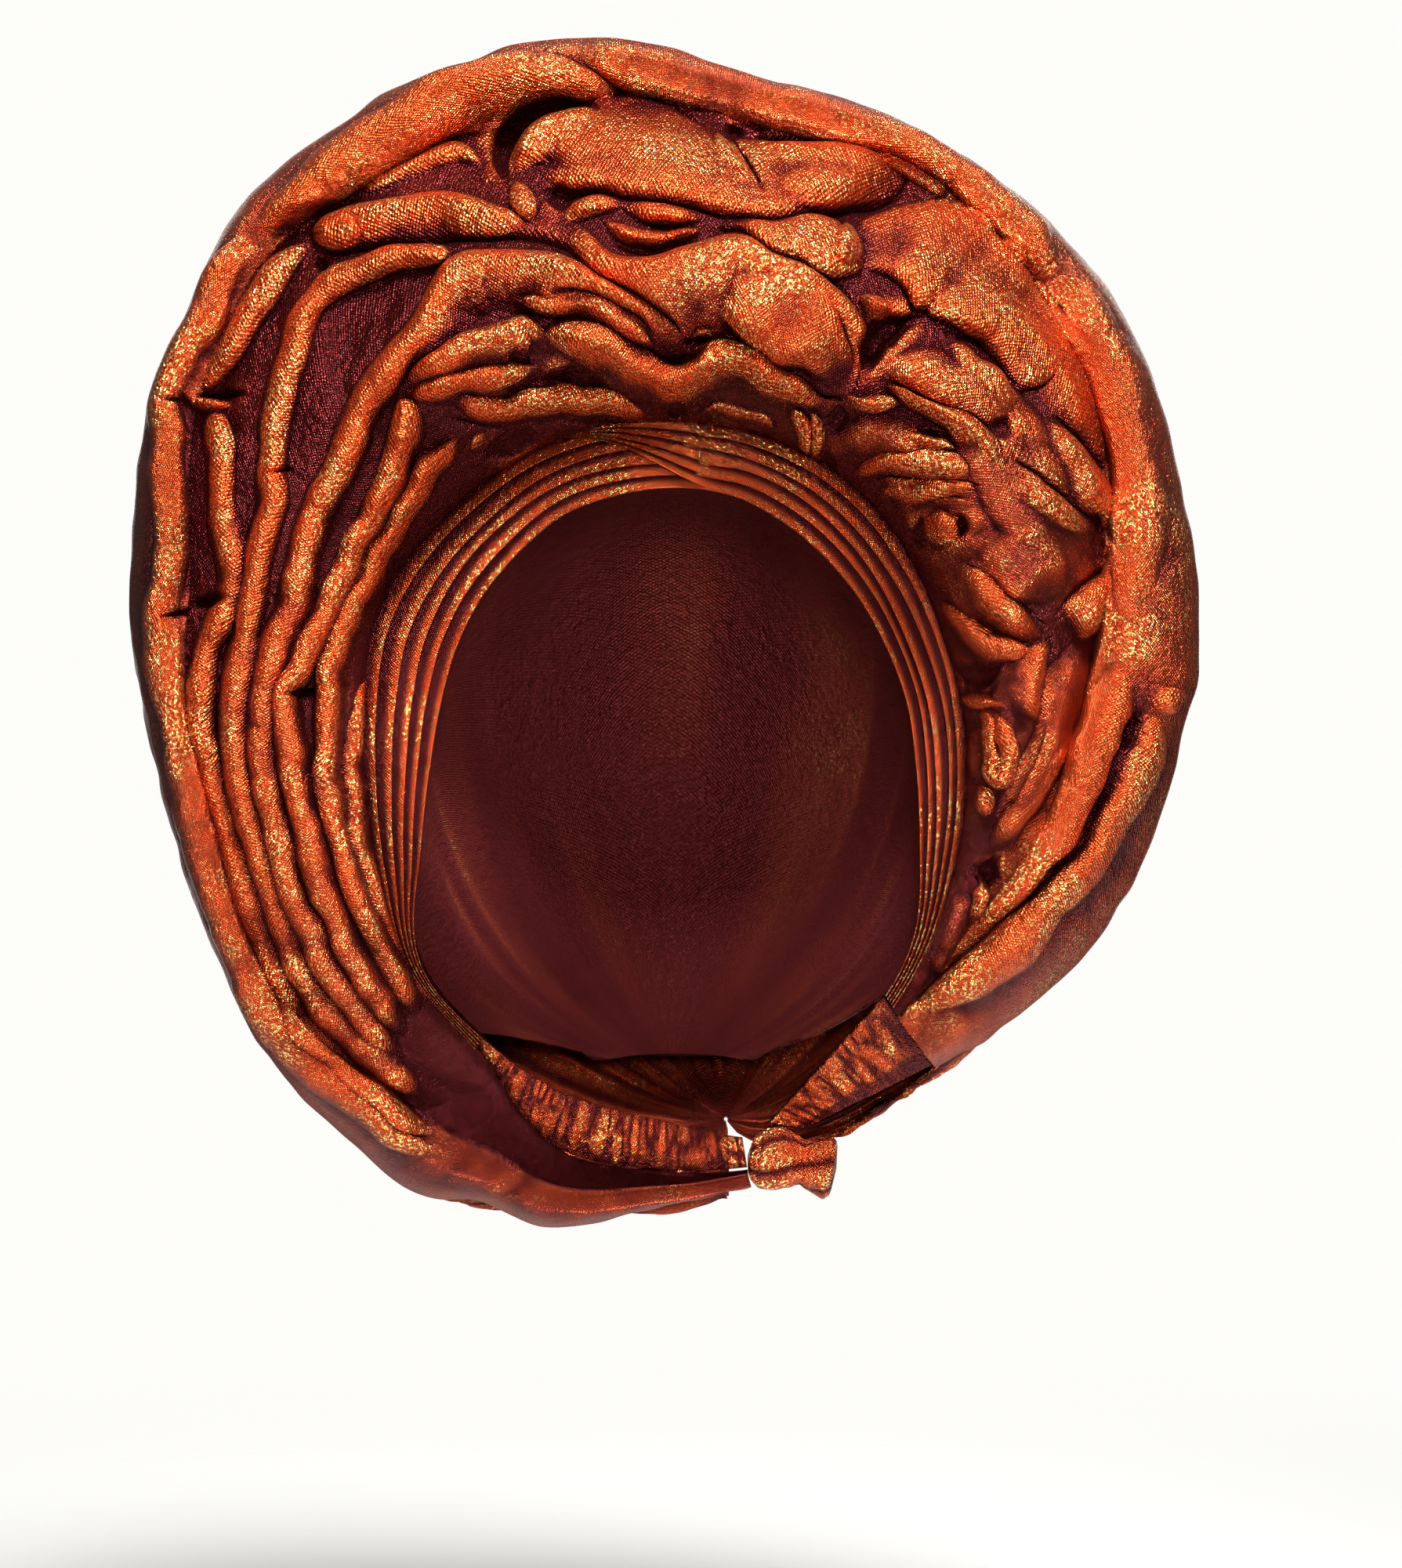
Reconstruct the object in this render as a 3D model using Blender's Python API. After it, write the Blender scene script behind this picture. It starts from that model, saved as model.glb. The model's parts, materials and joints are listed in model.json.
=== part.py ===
"""Tied gele head tie: a pleated band round the face, a ruffled halo, and a crown and back gathered at the nape.

The origin is the top of the head inside the crown. +Z is up, the face looks along -Y, +X is the wearer's left.
Angles are in degrees about the halo centre, 0 at the top and growing towards +X.
"""

import math

import bpy
import numpy as np

# Head that the crown fits, an ellipsoid whose top is the origin
HEAD_WIDTH = 0.158
HEAD_LENGTH = 0.194
HEAD_HEIGHT = 0.224
HEAD_SETBACK = 0.002
HEAD_CLEARANCE = 0.001

# Cloth and the seams between neighbouring pieces
CLOTH = 0.0015
SEAM_GAP = 0.0008
SEAM_STEP = 0.01
SHARP_ANGLE = 60.0

# Band round the face
CENTRE_DROP = 0.075
FACE_RADIUS = 0.070
BAND_WIDTH = 0.022
BAND_CROWN = 0.004
BAND_PLEATS = 5
BAND_PLEAT_HEIGHT = 0.0016
BAND_PLEAT_EDGE = 0.06
CROSSING_START = 12.0
CROSSING_END = -15.0

# Halo
HALO_RADIUS = 0.2165
LAYER_DEPTH = 0.100
BRIM_DEPTH = 0.030
BRIM_CREASE = 0.010
BRIM_TURN = 125.0
BRIM_INNER_TURN = 55.0
BRIM_TURN_LIMIT = 1.1
BRIM_EDGE = 2.0
BRIM_EDGE_STEP = 0.03
BULGE_POWER = 0.8
CREASE_SETTLE = 0.12
BAND_SETTLE = 0.06
ROLL_WIDTH = 0.010
ROLL_HEIGHT = 0.011
ROLL_TAPER = 4.0
ROLL_END = 0.15
ROLL_PATH_POINTS = 17
FAN_PATH_POINTS = 60
PLEAT_WIDTH = 0.0055
PLEAT_HEIGHT = 0.0065

# The halo is laid out as it looks from this point in front of the face
EYE_DISTANCE = 1.200
EYE_SIDE = 0.0086
EYE_DROP = 0.100

# Ends of the pieces round the halo, in degrees
FAN_START = -189.0
FAN_END = -35.0
TOP_END = 30.0
HALO_END = 144.0
BAND_START = -150.0

# Crown: how far across the band its edge is tucked, how far inside the band's ends it stops, and its nape edge
CROWN_TUCK = 0.30
CROWN_MARGIN = 2.0
NAPE_WIDTH = 0.056
NAPE_SETBACK = 0.072
NAPE_DROP = 0.192

# Back: its gather, how its curve leaves the brim and comes to the gather, how it keeps clear of the crown, and
# its pleats
GATHER_RADIUS = 0.006
GATHER_SIDE = 0.012
GATHER_SETBACK = 0.088
GATHER_DROP = 0.208
DRAPE_LEAVE = 0.14
DRAPE_ARRIVE = 0.36
DRAPE_OUT = 0.95
DRAPE_BACK = 0.25
DRAPE_CLEARANCE = 0.007
DRAPE_BLEND = 0.05
DRAPE_RELEASE = 8
DRAPE_PLEATS = 8
DRAPE_PLEAT_HEIGHT = 0.0060
DRAPE_PLEAT_RADIUS = 0.12
DRAPE_SPACING = 1.1
DRAPE_START_MARGIN = 3.0
DRAPE_END_MARGIN = 1.0

# Knot and ties
KNOT_AXIS = (0.98, -0.08, -0.14)
KNOT_SIDE = (0.25, -0.05, 0.95)
KNOT_LENGTH = 0.030
KNOT_RADIUS = 0.0095
KNOT_RIDGES = 5
KNOT_SEAT = 0.36
KNOT_TWIST = 6.0
KNOT_RIDGE_HEIGHT = 0.0012
CRINKLE_HEIGHT = 0.0008
LEFT_TIE_CRINKLES = (60, 9)
RIGHT_TIE_CRINKLES = (22, 5)
RIGHT_TIE_REACH = 1.7
RIGHT_TIE_EASE = 1.3
TIE_END_WIDTH = 0.011
TIE_INSET = 0.002

# Sections of the halo. face is a share of FACE_RADIUS, band a share of BAND_WIDTH, rim a share of HALO_RADIUS.
# crease and crest are shares of the way from the band to the rim.
SECTION_COLUMNS = ("angle", "face", "band", "rim", "crease", "crest")
SECTIONS = (
    (-190, 2.00, 0.51, 0.712, 0.50, 0.72),
    (-178, 1.89, 0.80, 0.739, 0.50, 0.72),
    (-165, 1.84, 0.85, 0.791, 0.48, 0.72),
    (-150, 1.75, 0.23, 0.808, 0.55, 0.76),
    (-135, 1.64, 0.23, 0.797, 0.68, 0.83),
    (-120, 1.33, 0.77, 0.771, 0.80, 0.87),
    (-105, 1.15, 1.02, 0.762, 0.79, 0.86),
    (-90, 1.06, 1.18, 0.783, 0.80, 0.87),
    (-75, 1.02, 1.31, 0.827, 0.77, 0.85),
    (-60, 1.00, 1.25, 0.891, 0.85, 0.92),
    (-45, 0.99, 1.16, 0.955, 0.87, 0.93),
    (-30, 1.00, 1.08, 0.988, 0.83, 0.90),
    (-15, 0.99, 1.06, 1.000, 0.82, 0.94),
    (0, 0.99, 1.00, 0.962, 0.87, 0.94),
    (15, 0.99, 1.01, 0.930, 0.87, 0.94),
    (30, 0.97, 1.09, 0.912, 0.86, 0.92),
    (45, 0.96, 1.09, 0.887, 0.80, 0.89),
    (60, 0.97, 1.00, 0.837, 0.75, 0.84),
    (75, 1.00, 0.91, 0.797, 0.62, 0.73),
    (90, 1.06, 0.86, 0.762, 0.50, 0.62),
    (105, 1.14, 0.82, 0.731, 0.45, 0.56),
    (120, 1.29, 0.66, 0.711, 0.30, 0.46),
    (135, 1.53, 0.31, 0.679, 0.15, 0.40),
    (150, 1.70, 0.23, 0.650, 0.10, 0.40),
)

# Depths behind the origin as shares of LAYER_DEPTH, negative in front. bulge is how far the ruffles stand
# forward of the straight line from the band to the crease. roll is a share of BRIM_DEPTH.
DEPTH_COLUMNS = ("angle", "face", "band", "bulge", "rim", "roll")
DEPTHS = (
    (-190, 0.60, 0.62, 0.00, 0.70, 0.40),
    (-178, 0.58, 0.60, 0.00, 0.70, 0.60),
    (-165, 0.50, 0.54, 0.01, 0.66, 0.85),
    (-150, 0.35, 0.42, 0.05, 0.58, 1.00),
    (-135, 0.20, 0.26, 0.09, 0.44, 1.00),
    (-120, 0.08, 0.12, 0.14, 0.34, 1.00),
    (-90, 0.00, 0.03, 0.21, 0.25, 1.00),
    (-60, -0.05, 0.00, 0.28, 0.22, 1.00),
    (-30, -0.21, -0.12, 0.42, 0.20, 1.00),
    (0, -0.35, -0.24, 0.48, 0.20, 1.00),
    (30, -0.21, -0.14, 0.46, 0.20, 1.00),
    (60, -0.05, -0.02, 0.40, 0.22, 1.00),
    (90, 0.00, 0.03, 0.26, 0.26, 1.00),
    (120, 0.08, 0.12, 0.12, 0.38, 1.00),
    (135, 0.20, 0.24, 0.05, 0.46, 0.90),
    (150, 0.34, 0.37, 0.01, 0.54, 0.60),
)

# Long pleats of the fan: the share at which each crest crosses the angles of FAN_ANGLES.
FAN_ANGLES = (-50, -60, -70, -80, -90, -105, -120, -135, -150, -168)
FAN_PLEATS = (
    (0.79, 0.76, 0.67, 0.69, 0.72, 0.72, 0.73, 0.60, 0.46, 0.38),
    (0.62, 0.54, 0.48, 0.53, 0.58, 0.60, 0.61, 0.48, 0.34, 0.27),
    (0.35, 0.33, 0.31, 0.40, 0.46, 0.47, 0.49, 0.37, 0.23, 0.17),
    (0.15, 0.15, 0.15, 0.25, 0.34, 0.35, 0.34, 0.26, 0.13, 0.09),
    (0.05, 0.05, 0.07, 0.12, 0.16, 0.17, 0.16, 0.12, 0.05, 0.03),
)

# Rolls of the ruffles: three points of each as an angle and a share of the way from the band to the rim, then
# its half width as a share of ROLL_WIDTH and its height as a share of ROLL_HEIGHT. A negative height is a hollow.
ROLL_COLUMNS = ("angle_1", "share_1", "angle_2", "share_2", "angle_3", "share_3", "width", "height")
ROLLS = (
    (-20, 0.92, -10, 0.91, -6, 0.80, 0.8, 0.6),
    (-17, 0.70, -12, 0.77, -8, 0.83, 0.9, -0.9),
    (-32, 0.77, -25, 0.77, -19, 0.75, 0.6, 0.6),
    (-58, 0.86, -45, 0.80, -30, 0.70, 0.9, 0.9),
    (-30, 0.70, -23, 0.64, -16, 0.54, 0.8, 0.8),
    (-35, 0.63, -22, 0.54, -8, 0.40, 0.6, -0.5),
    (-67, 0.47, -52, 0.60, -40, 0.66, 1.0, 1.0),
    (-40, 0.66, -33, 0.60, -26, 0.53, 0.9, 0.9),
    (-50, 0.45, -41, 0.47, -32, 0.50, 0.8, -0.8),
    (-80, 0.40, -63, 0.31, -48, 0.36, 0.9, 0.9),
    (-48, 0.36, -34, 0.42, -22, 0.48, 1.0, 1.0),
    (-22, 0.48, -11, 0.39, -1, 0.22, 0.8, 0.9),
    (-45, 0.27, -33, 0.28, -22, 0.26, 0.9, 0.9),
    (-22, 0.26, -10, 0.17, 0, 0.11, 0.8, 0.8),
    (0, 0.11, 10, 0.17, 23, 0.14, 0.7, 0.7),
    (-38, 0.17, -25, 0.11, -9, 0.05, 0.6, 0.6),
    (-17, 0.66, -4, 0.74, 9, 0.70, 1.6, 1.2),
    (7, 0.68, 15, 0.76, 23, 0.78, 1.3, 1.1),
    (-15, 0.50, -8, 0.60, 4, 0.54, 0.6, 0.7),
    (-3, 0.36, 12, 0.44, 28, 0.32, 1.6, 1.3),
    (6, 0.56, 15, 0.50, 23, 0.46, 0.5, -0.6),
    (28, 0.39, 31, 0.41, 34, 0.42, 1.0, -1.0),
    (12, 0.56, 21, 0.62, 30, 0.64, 1.4, 0.8),
    (26, 0.78, 43, 0.70, 61, 0.72, 1.4, 1.1),
    (33, 0.33, 42, 0.46, 51, 0.53, 1.1, 1.1),
    (36, 0.26, 45, 0.34, 53, 0.32, 0.7, 0.8),
    (40, 0.02, 46, 0.17, 52, 0.27, 0.7, 0.8),
    (53, 0.08, 55, 0.12, 58, 0.14, 0.8, 0.9),
    (52, 0.52, 59, 0.56, 66, 0.63, 0.6, 0.8),
    (54, 0.36, 62, 0.38, 68, 0.60, 0.8, 0.9),
    (58, 0.20, 66, 0.32, 74, 0.45, 1.6, 0.7),
    (66, 0.08, 71, 0.24, 78, 0.34, 0.8, 0.8),
    (78, 0.42, 75, 0.52, 73, 0.62, 0.8, 0.6),
    (84, 0.18, 83, 0.28, 90, 0.28, 0.9, 0.8),
    (91, 0.03, 96, 0.12, 101, 0.10, 0.6, 0.7),
    (81, 0.37, 95, 0.35, 108, 0.25, 1.1, 0.8),
    (90, 0.88, 108, 0.74, 127, 0.50, 1.0, 0.7),
)

# Knot: places along its length and the radius there, as shares of KNOT_LENGTH and KNOT_RADIUS
KNOT_PROFILE = (
    (0.04, 0.55),
    (0.18, 0.90),
    (0.36, 1.00),
    (0.52, 0.80),
    (0.62, 0.62),
    (0.76, 0.82),
    (0.92, 0.95),
)

# Grid steps of each piece, along the halo and across it. The three halo pieces share their steps across, and
# the brim has the steps along of all three.
HALO_STEPS_ACROSS = 21
BRIM_STEPS_ACROSS = 5
GRID = {
    "left_brow_wrap": (16, 2 * BAND_PLEATS),
    "right_brow_wrap": (16, 2 * BAND_PLEATS),
    "crown_wrap": (18, 11),
    "pleated_fan": (20, HALO_STEPS_ACROSS),
    "top_ruffle": (20, HALO_STEPS_ACROSS),
    "side_ruffle": (24, HALO_STEPS_ACROSS),
    "back_drape": (32, 9),
    "left_tie": (14, 4),
    "right_tie": (10, 3),
    "nape_knot": (14, len(KNOT_PROFILE)),
}

# Colours of the copper cloth
CLOTH_COLOUR = (0.46, 0.085, 0.028, 1.0)
DEEP_COLOUR = (0.30, 0.055, 0.022, 1.0)
BRIGHT_COLOUR = (0.56, 0.13, 0.035, 1.0)
CLOTH_ROUGHNESS = 0.38
CLOTH_METALLIC = 0.75


def clear_scene():
    """Remove whatever the scene holds."""
    for item in list(bpy.data.objects):
        bpy.data.objects.remove(item, do_unlink=True)


def columns(rows, names):
    """Turn table rows into a dictionary of one array for each named column."""
    return {name: np.array(values, dtype=float) for name, values in zip(names, zip(*rows))}


def smooth_lookup(places, values, wanted):
    """Cubic curve through a table's values, with the slope at each row taken from its two neighbours."""
    slopes = np.gradient(values, places)
    wanted = np.clip(wanted, places[0], places[-1])
    index = np.clip(np.searchsorted(places, wanted) - 1, 0, len(places) - 2)
    step = places[index + 1] - places[index]
    t = (wanted - places[index]) / step
    rise = values[index + 1] - values[index]
    inner = t * (1 - t)
    start_pull = (slopes[index] * step - rise) * (1 - t)
    end_pull = (slopes[index + 1] * step - rise) * t
    return values[index] + rise * t + inner * (start_pull - end_pull)


SECTION = columns(SECTIONS, SECTION_COLUMNS)
DEPTH = columns(DEPTHS, DEPTH_COLUMNS)


def section_value(name, angle):
    return smooth_lookup(SECTION["angle"], SECTION[name], angle)


def depth_value(name, angle):
    return smooth_lookup(DEPTH["angle"], DEPTH[name], angle)


def face_radius(angle):
    return FACE_RADIUS * section_value("face", angle)


def band_radius(angle):
    return face_radius(angle) + BAND_WIDTH * section_value("band", angle)


def halo_width(angle):
    return HALO_RADIUS * section_value("rim", angle) - band_radius(angle)


def seen_point(angle, radius, depth):
    """Place at this depth that shows at this angle and radius from the eye point: it spreads with its depth."""
    turn = np.radians(angle)
    spread = (EYE_DISTANCE + depth) / EYE_DISTANCE
    side = EYE_SIDE + (radius * np.sin(turn) - EYE_SIDE) * spread
    up = -EYE_DROP + (radius * np.cos(turn) - CENTRE_DROP + EYE_DROP) * spread
    return np.stack([side, depth + 0 * side, up], axis=-1)


def flat_place(angle, share):
    """Flat layout of the halo front: sideways and upwards distance from the halo centre."""
    radius = band_radius(angle) + share * halo_width(angle)
    turn = np.radians(angle)
    return radius * np.sin(turn), radius * np.cos(turn)


def roll_relief(angle, share, path_angles, path_shares, half_width, height):
    """Height that one roll adds: an arch across its path, lower and narrower towards both of its ends."""
    side, up = flat_place(angle, share)
    path_side, path_up = flat_place(path_angles, path_shares)
    apart = np.hypot(side[..., None] - path_side, up[..., None] - path_up)
    nearest = np.argmin(apart, axis=-1)
    along = nearest / (len(path_angles) - 1)
    taper = np.sqrt(np.clip(ROLL_TAPER * np.minimum(along, 1 - along) + ROLL_END, 0, 1))
    across = np.min(apart, axis=-1) / (half_width * taper)
    return height * taper * np.clip(1 - across**2, 0, 1)


def relief(angle, share):
    """Highest of the pleats and rolls at each place, less the hollows."""
    raised = np.zeros(np.shape(angle))
    lowered = np.zeros(np.shape(angle))
    fan_angles = np.array(FAN_ANGLES[::-1], dtype=float)
    path = np.linspace(fan_angles[0], fan_angles[-1], FAN_PATH_POINTS)
    for crest in FAN_PLEATS:
        shares = smooth_lookup(fan_angles, np.array(crest[::-1]), path)
        raised = np.maximum(raised, roll_relief(angle, share, path, shares, PLEAT_WIDTH, PLEAT_HEIGHT))
    t = np.linspace(0, 1, ROLL_PATH_POINTS)
    weights = np.array([(1 - t) * (1 - 2 * t), 4 * t * (1 - t), t * (2 * t - 1)])
    for row in ROLLS:
        roll = dict(zip(ROLL_COLUMNS, row))
        path_angles = np.array([roll["angle_1"], roll["angle_2"], roll["angle_3"]]) @ weights
        path_shares = np.array([roll["share_1"], roll["share_2"], roll["share_3"]]) @ weights
        half_width = ROLL_WIDTH * roll["width"]
        height = ROLL_HEIGHT * roll["height"]
        added = roll_relief(angle, share, path_angles, path_shares, half_width, height)
        raised = np.maximum(raised, added)
        lowered = np.minimum(lowered, added)
    return raised + lowered


def halo_surface(angle, reach):
    """Front cloth of the halo. reach is 0 at the band, 1 at the brim's crease and 2 at the brim's back edge.

    Up to the crease the cloth bulges forward from the straight line between band and crease. From the crease
    the brim follows two part ellipses that meet at its crest, and turns past the rim to the back.
    """
    angle, reach = np.broadcast_arrays(np.asarray(angle, dtype=float), np.asarray(reach, dtype=float))
    crease = section_value("crease", angle)
    crest = section_value("crest", angle)
    band_depth = LAYER_DEPTH * depth_value("band", angle)
    roll_depth = BRIM_DEPTH * depth_value("roll", angle)
    crest_depth = LAYER_DEPTH * depth_value("rim", angle) - roll_depth
    crease_drop = BRIM_CREASE * depth_value("roll", angle)
    part = np.clip(reach, 0, 1)
    bulge = LAYER_DEPTH * depth_value("bulge", angle) * np.sin(np.pi * part**BULGE_POWER)
    front_depth = band_depth + (crest_depth + crease_drop - band_depth) * part - bulge
    rolled = np.clip(reach - 1, 0, BRIM_TURN_LIMIT)
    turn = np.radians(-BRIM_INNER_TURN + (BRIM_INNER_TURN + BRIM_TURN) * rolled)
    inner_turn = math.radians(BRIM_INNER_TURN)
    inner_share = (crest - crease) * np.sin(turn) / math.sin(inner_turn)
    inner_depth = crease_drop * (1 - np.cos(turn)) / (1 - math.cos(inner_turn))
    outer_share = (1 - crest) * np.sin(turn)
    outer_depth = roll_depth * (1 - np.cos(turn))
    brim_share = crest + np.where(turn < 0, inner_share, outer_share)
    brim_depth = crest_depth + np.where(turn < 0, inner_depth, outer_depth)
    on_brim = reach > 1
    share = np.where(on_brim, brim_share, reach * crease)
    depth = np.where(on_brim, brim_depth, front_depth)
    facing = np.where(turn > 0, np.clip(np.cos(turn), 0, 1), 1.0)
    settle = np.clip(np.abs(reach - 1) / CREASE_SETTLE, 0, 1) * np.clip(reach / BAND_SETTLE, 0, 1)
    depth = depth - relief(angle, share) * facing * settle
    return seen_point(angle, band_radius(angle) + share * halo_width(angle), depth)


def band_surface(angle, across, height=0.0):
    """Band cloth from the face edge, across 0, to the ruffles, across 1, with height added to the front."""
    angle, across = np.broadcast_arrays(np.asarray(angle, dtype=float), np.asarray(across, dtype=float))
    face_depth = LAYER_DEPTH * depth_value("face", angle)
    band_depth = LAYER_DEPTH * depth_value("band", angle)
    crown = BAND_CROWN * np.minimum(section_value("band", angle), 1) * np.sin(np.pi * across)
    depth = face_depth + (band_depth - face_depth) * across - crown - height
    radius = face_radius(angle) + (band_radius(angle) - face_radius(angle)) * across
    return seen_point(angle, radius, depth)


def normals(surface, first, second, step_first=2.0, step_second=0.03):
    """Unit normals of a surface of two parameters, from central differences."""
    along = surface(first + step_first, second) - surface(first - step_first, second)
    across = surface(first, second + step_second) - surface(first, second - step_second)
    cross = np.cross(along, across)
    return cross / np.linalg.norm(cross, axis=-1, keepdims=True)


def seam_reach(angle, reach, towards):
    """Step in reach, towards this side, that holds a piece back by half a seam."""
    step = SEAM_STEP * towards
    speed = np.linalg.norm(halo_surface(angle, reach + step) - halo_surface(angle, reach), axis=-1) / abs(step)
    return towards * SEAM_GAP / 2 / speed


def halo_patch(angles, steps_across, low, high):
    """Grid over these angles and between two reaches, held back by half a seam on every side."""
    part = np.linspace(0, 1, len(angles))[:, None]
    share = np.linspace(0, 1, steps_across + 1)[None, :]
    angle = angles[:, None] + 0 * share
    radius = band_radius(angle) + np.minimum(low + (high - low) * share, 1) * halo_width(angle)
    angle = angle + np.degrees(SEAM_GAP / 2 / radius) * (1 - 2 * part)
    first = low + seam_reach(angle, low, 1)
    last = high + seam_reach(angle, high, -1)
    return angle, first + (last - first) * share


def make_material(name, colour):
    material = bpy.data.materials.new(name)
    material.use_nodes = True
    shader = material.node_tree.nodes["Principled BSDF"]
    shader.inputs["Base Color"].default_value = colour
    shader.inputs["Roughness"].default_value = CLOTH_ROUGHNESS
    shader.inputs["Metallic"].default_value = CLOTH_METALLIC
    material.diffuse_color = colour
    return material


def add_object(name, points, faces, colour):
    """Make one closed mesh object with its own material."""
    mesh = bpy.data.meshes.new(name)
    mesh.from_pydata(points.reshape(-1, 3).tolist(), [], faces)
    mesh.validate()
    mesh.shade_smooth()
    mesh.set_sharp_from_angle(angle=math.radians(SHARP_ANGLE))
    mesh.materials.append(make_material(name + "_cloth", colour))
    item = bpy.data.objects.new(name, mesh)
    bpy.context.scene.collection.objects.link(item)
    return item


def wall_faces(rows, cols):
    """Triangles of a closed wall: an outer grid, an inner grid turned over, and a strip round all edges."""
    number = np.arange(rows * cols).reshape(rows, cols)
    a, b = number[:-1, :-1].ravel(), number[1:, :-1].ravel()
    c, d = number[1:, 1:].ravel(), number[:-1, 1:].ravel()
    back = rows * cols
    front = np.concatenate([np.stack([a, b, c], 1), np.stack([a, c, d], 1)])
    rear = front[:, ::-1] + back
    edge = np.concatenate([number[0, :], number[1:, -1], number[-1, -2::-1], number[-2:0:-1, 0]])
    after = np.roll(edge, -1)
    strip = np.concatenate(
        [np.stack([edge, after, after + back], 1), np.stack([edge, after + back, edge + back], 1)]
    )
    return np.concatenate([front, rear, strip]).tolist()


def add_wall(name, outer, inner, colour):
    """Make a cloth wall whose outer grid runs along the halo first and across it second."""
    rows, cols = outer.shape[:2]
    points = np.concatenate([outer.reshape(-1, 3), inner.reshape(-1, 3)])
    return add_object(name, points, wall_faces(rows, cols), colour)


def make_halo_piece(name, angles, steps_across, low, high):
    """Make one piece of the halo front, over these angles and between two reaches."""
    angle, reach = halo_patch(angles, steps_across, low, high)
    outer = halo_surface(angle, reach)
    inner = outer - CLOTH * normals(halo_surface, angle, reach)
    return add_wall(name, outer, inner, CLOTH_COLOUR)


def make_halo():
    """Make the three pieces between band and crease, and the brim, which has the same angles as all three."""
    ends = {
        "pleated_fan": (FAN_START, FAN_END),
        "top_ruffle": (FAN_END, TOP_END),
        "side_ruffle": (TOP_END, HALO_END),
    }
    brim_angles = [np.array([FAN_START])]
    for name, (start, end) in ends.items():
        steps_along, steps_across = GRID[name]
        angles = np.linspace(start, end, steps_along + 1)
        brim_angles.append(angles[1:])
        make_halo_piece(name, angles, steps_across, 0, 1)
    make_halo_piece("outer_brim", np.concatenate(brim_angles), BRIM_STEPS_ACROSS, 1, BRIM_EDGE)


def pleat_steps(across):
    """Knife pleats of the band: each stands up at its fold edge and slopes down to the next one."""
    place = across * BAND_PLEATS
    part = place - np.floor(np.minimum(place, BAND_PLEATS - 1e-6))
    return BAND_PLEAT_HEIGHT * (1 - part)


def pleat_places():
    """Places across the band with two at each fold edge, so that the step is steep."""
    edge = BAND_PLEAT_EDGE / BAND_PLEATS
    places = [0.0]
    for pleat in range(1, BAND_PLEATS):
        places += [pleat / BAND_PLEATS - edge, pleat / BAND_PLEATS + edge]
    return np.array(places + [1.0])


def crossing_angle(across):
    """Line on which the two wraps cross over the brow."""
    return CROSSING_START + (CROSSING_END - CROSSING_START) * across


def make_brow_wrap(name, start, end):
    """Make one pleated band from a start angle to an end angle, each a function of the place across."""
    steps = GRID[name][0]
    across = pleat_places()[None, :]
    part = np.linspace(0, 1, steps + 1)[:, None]
    angle = start(across) + (end(across) - start(across)) * part
    gap = np.degrees(SEAM_GAP / 2 / face_radius(angle))
    angle = angle + gap * (1 - 2 * part)
    inset = SEAM_GAP / 2 / (band_radius(angle) - face_radius(angle))
    across = across * (1 - inset)
    front = band_surface(angle, across, pleat_steps(across))
    back = band_surface(angle, across) - CLOTH * normals(band_surface, angle, across)
    return add_wall(name, front, back, BRIGHT_COLOUR)


def head_centre():
    return np.array([0.0, HEAD_SETBACK, -HEAD_HEIGHT / 2])


def head_radii(extra):
    return np.array([HEAD_WIDTH / 2, HEAD_LENGTH / 2, HEAD_HEIGHT / 2]) + extra


def turn_between(start, end, t):
    """Directions along the great circle from one unit vector to another."""
    dot = np.clip(np.sum(start * end, axis=-1, keepdims=True), -1, 1)
    whole = np.arccos(dot)
    return (np.sin((1 - t) * whole) * start + np.sin(t * whole) * end) / np.sin(whole)


def crown_surface(angle, down):
    """Crown cloth: each thread runs on the head from the back of the band, down 0, to the nape, down 1."""
    angle, down = np.broadcast_arrays(np.asarray(angle, dtype=float), np.asarray(down, dtype=float))
    seat = band_surface(angle, CROWN_TUCK)
    behind = CLOTH * 2 + SEAM_GAP
    front_edge = seat - behind * normals(band_surface, angle, CROWN_TUCK + 0 * angle)
    back_side = -NAPE_WIDTH / 2 * angle / BAND_START
    back_edge = np.stack([back_side, NAPE_SETBACK + 0 * angle, -NAPE_DROP + 0 * angle], axis=-1)
    radii = head_radii(HEAD_CLEARANCE + CLOTH)
    start = (front_edge - head_centre()) / radii
    end = (back_edge - head_centre()) / radii
    start_unit = start / np.linalg.norm(start, axis=-1, keepdims=True)
    end_unit = end / np.linalg.norm(end, axis=-1, keepdims=True)
    t = down[..., None]
    on_head = head_centre() + radii * turn_between(start_unit, end_unit, t)
    front_offset = (start - start_unit) * radii
    back_offset = (end - end_unit) * radii
    return on_head + front_offset * (1 - t) ** 3 + back_offset * t**3


def make_crown_wrap():
    steps_along, steps_down = GRID["crown_wrap"]
    angle = np.linspace(BAND_START + CROWN_MARGIN, HALO_END - CROWN_MARGIN, steps_along + 1)[:, None]
    down = np.linspace(0, 1, steps_down + 1)[None, :]
    angle, down = np.broadcast_arrays(angle, down)
    outer = crown_surface(angle, down)
    inner = outer - CLOTH * normals(crown_surface, angle, down)
    return add_wall("crown_wrap", outer, inner, DEEP_COLOUR)


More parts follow.
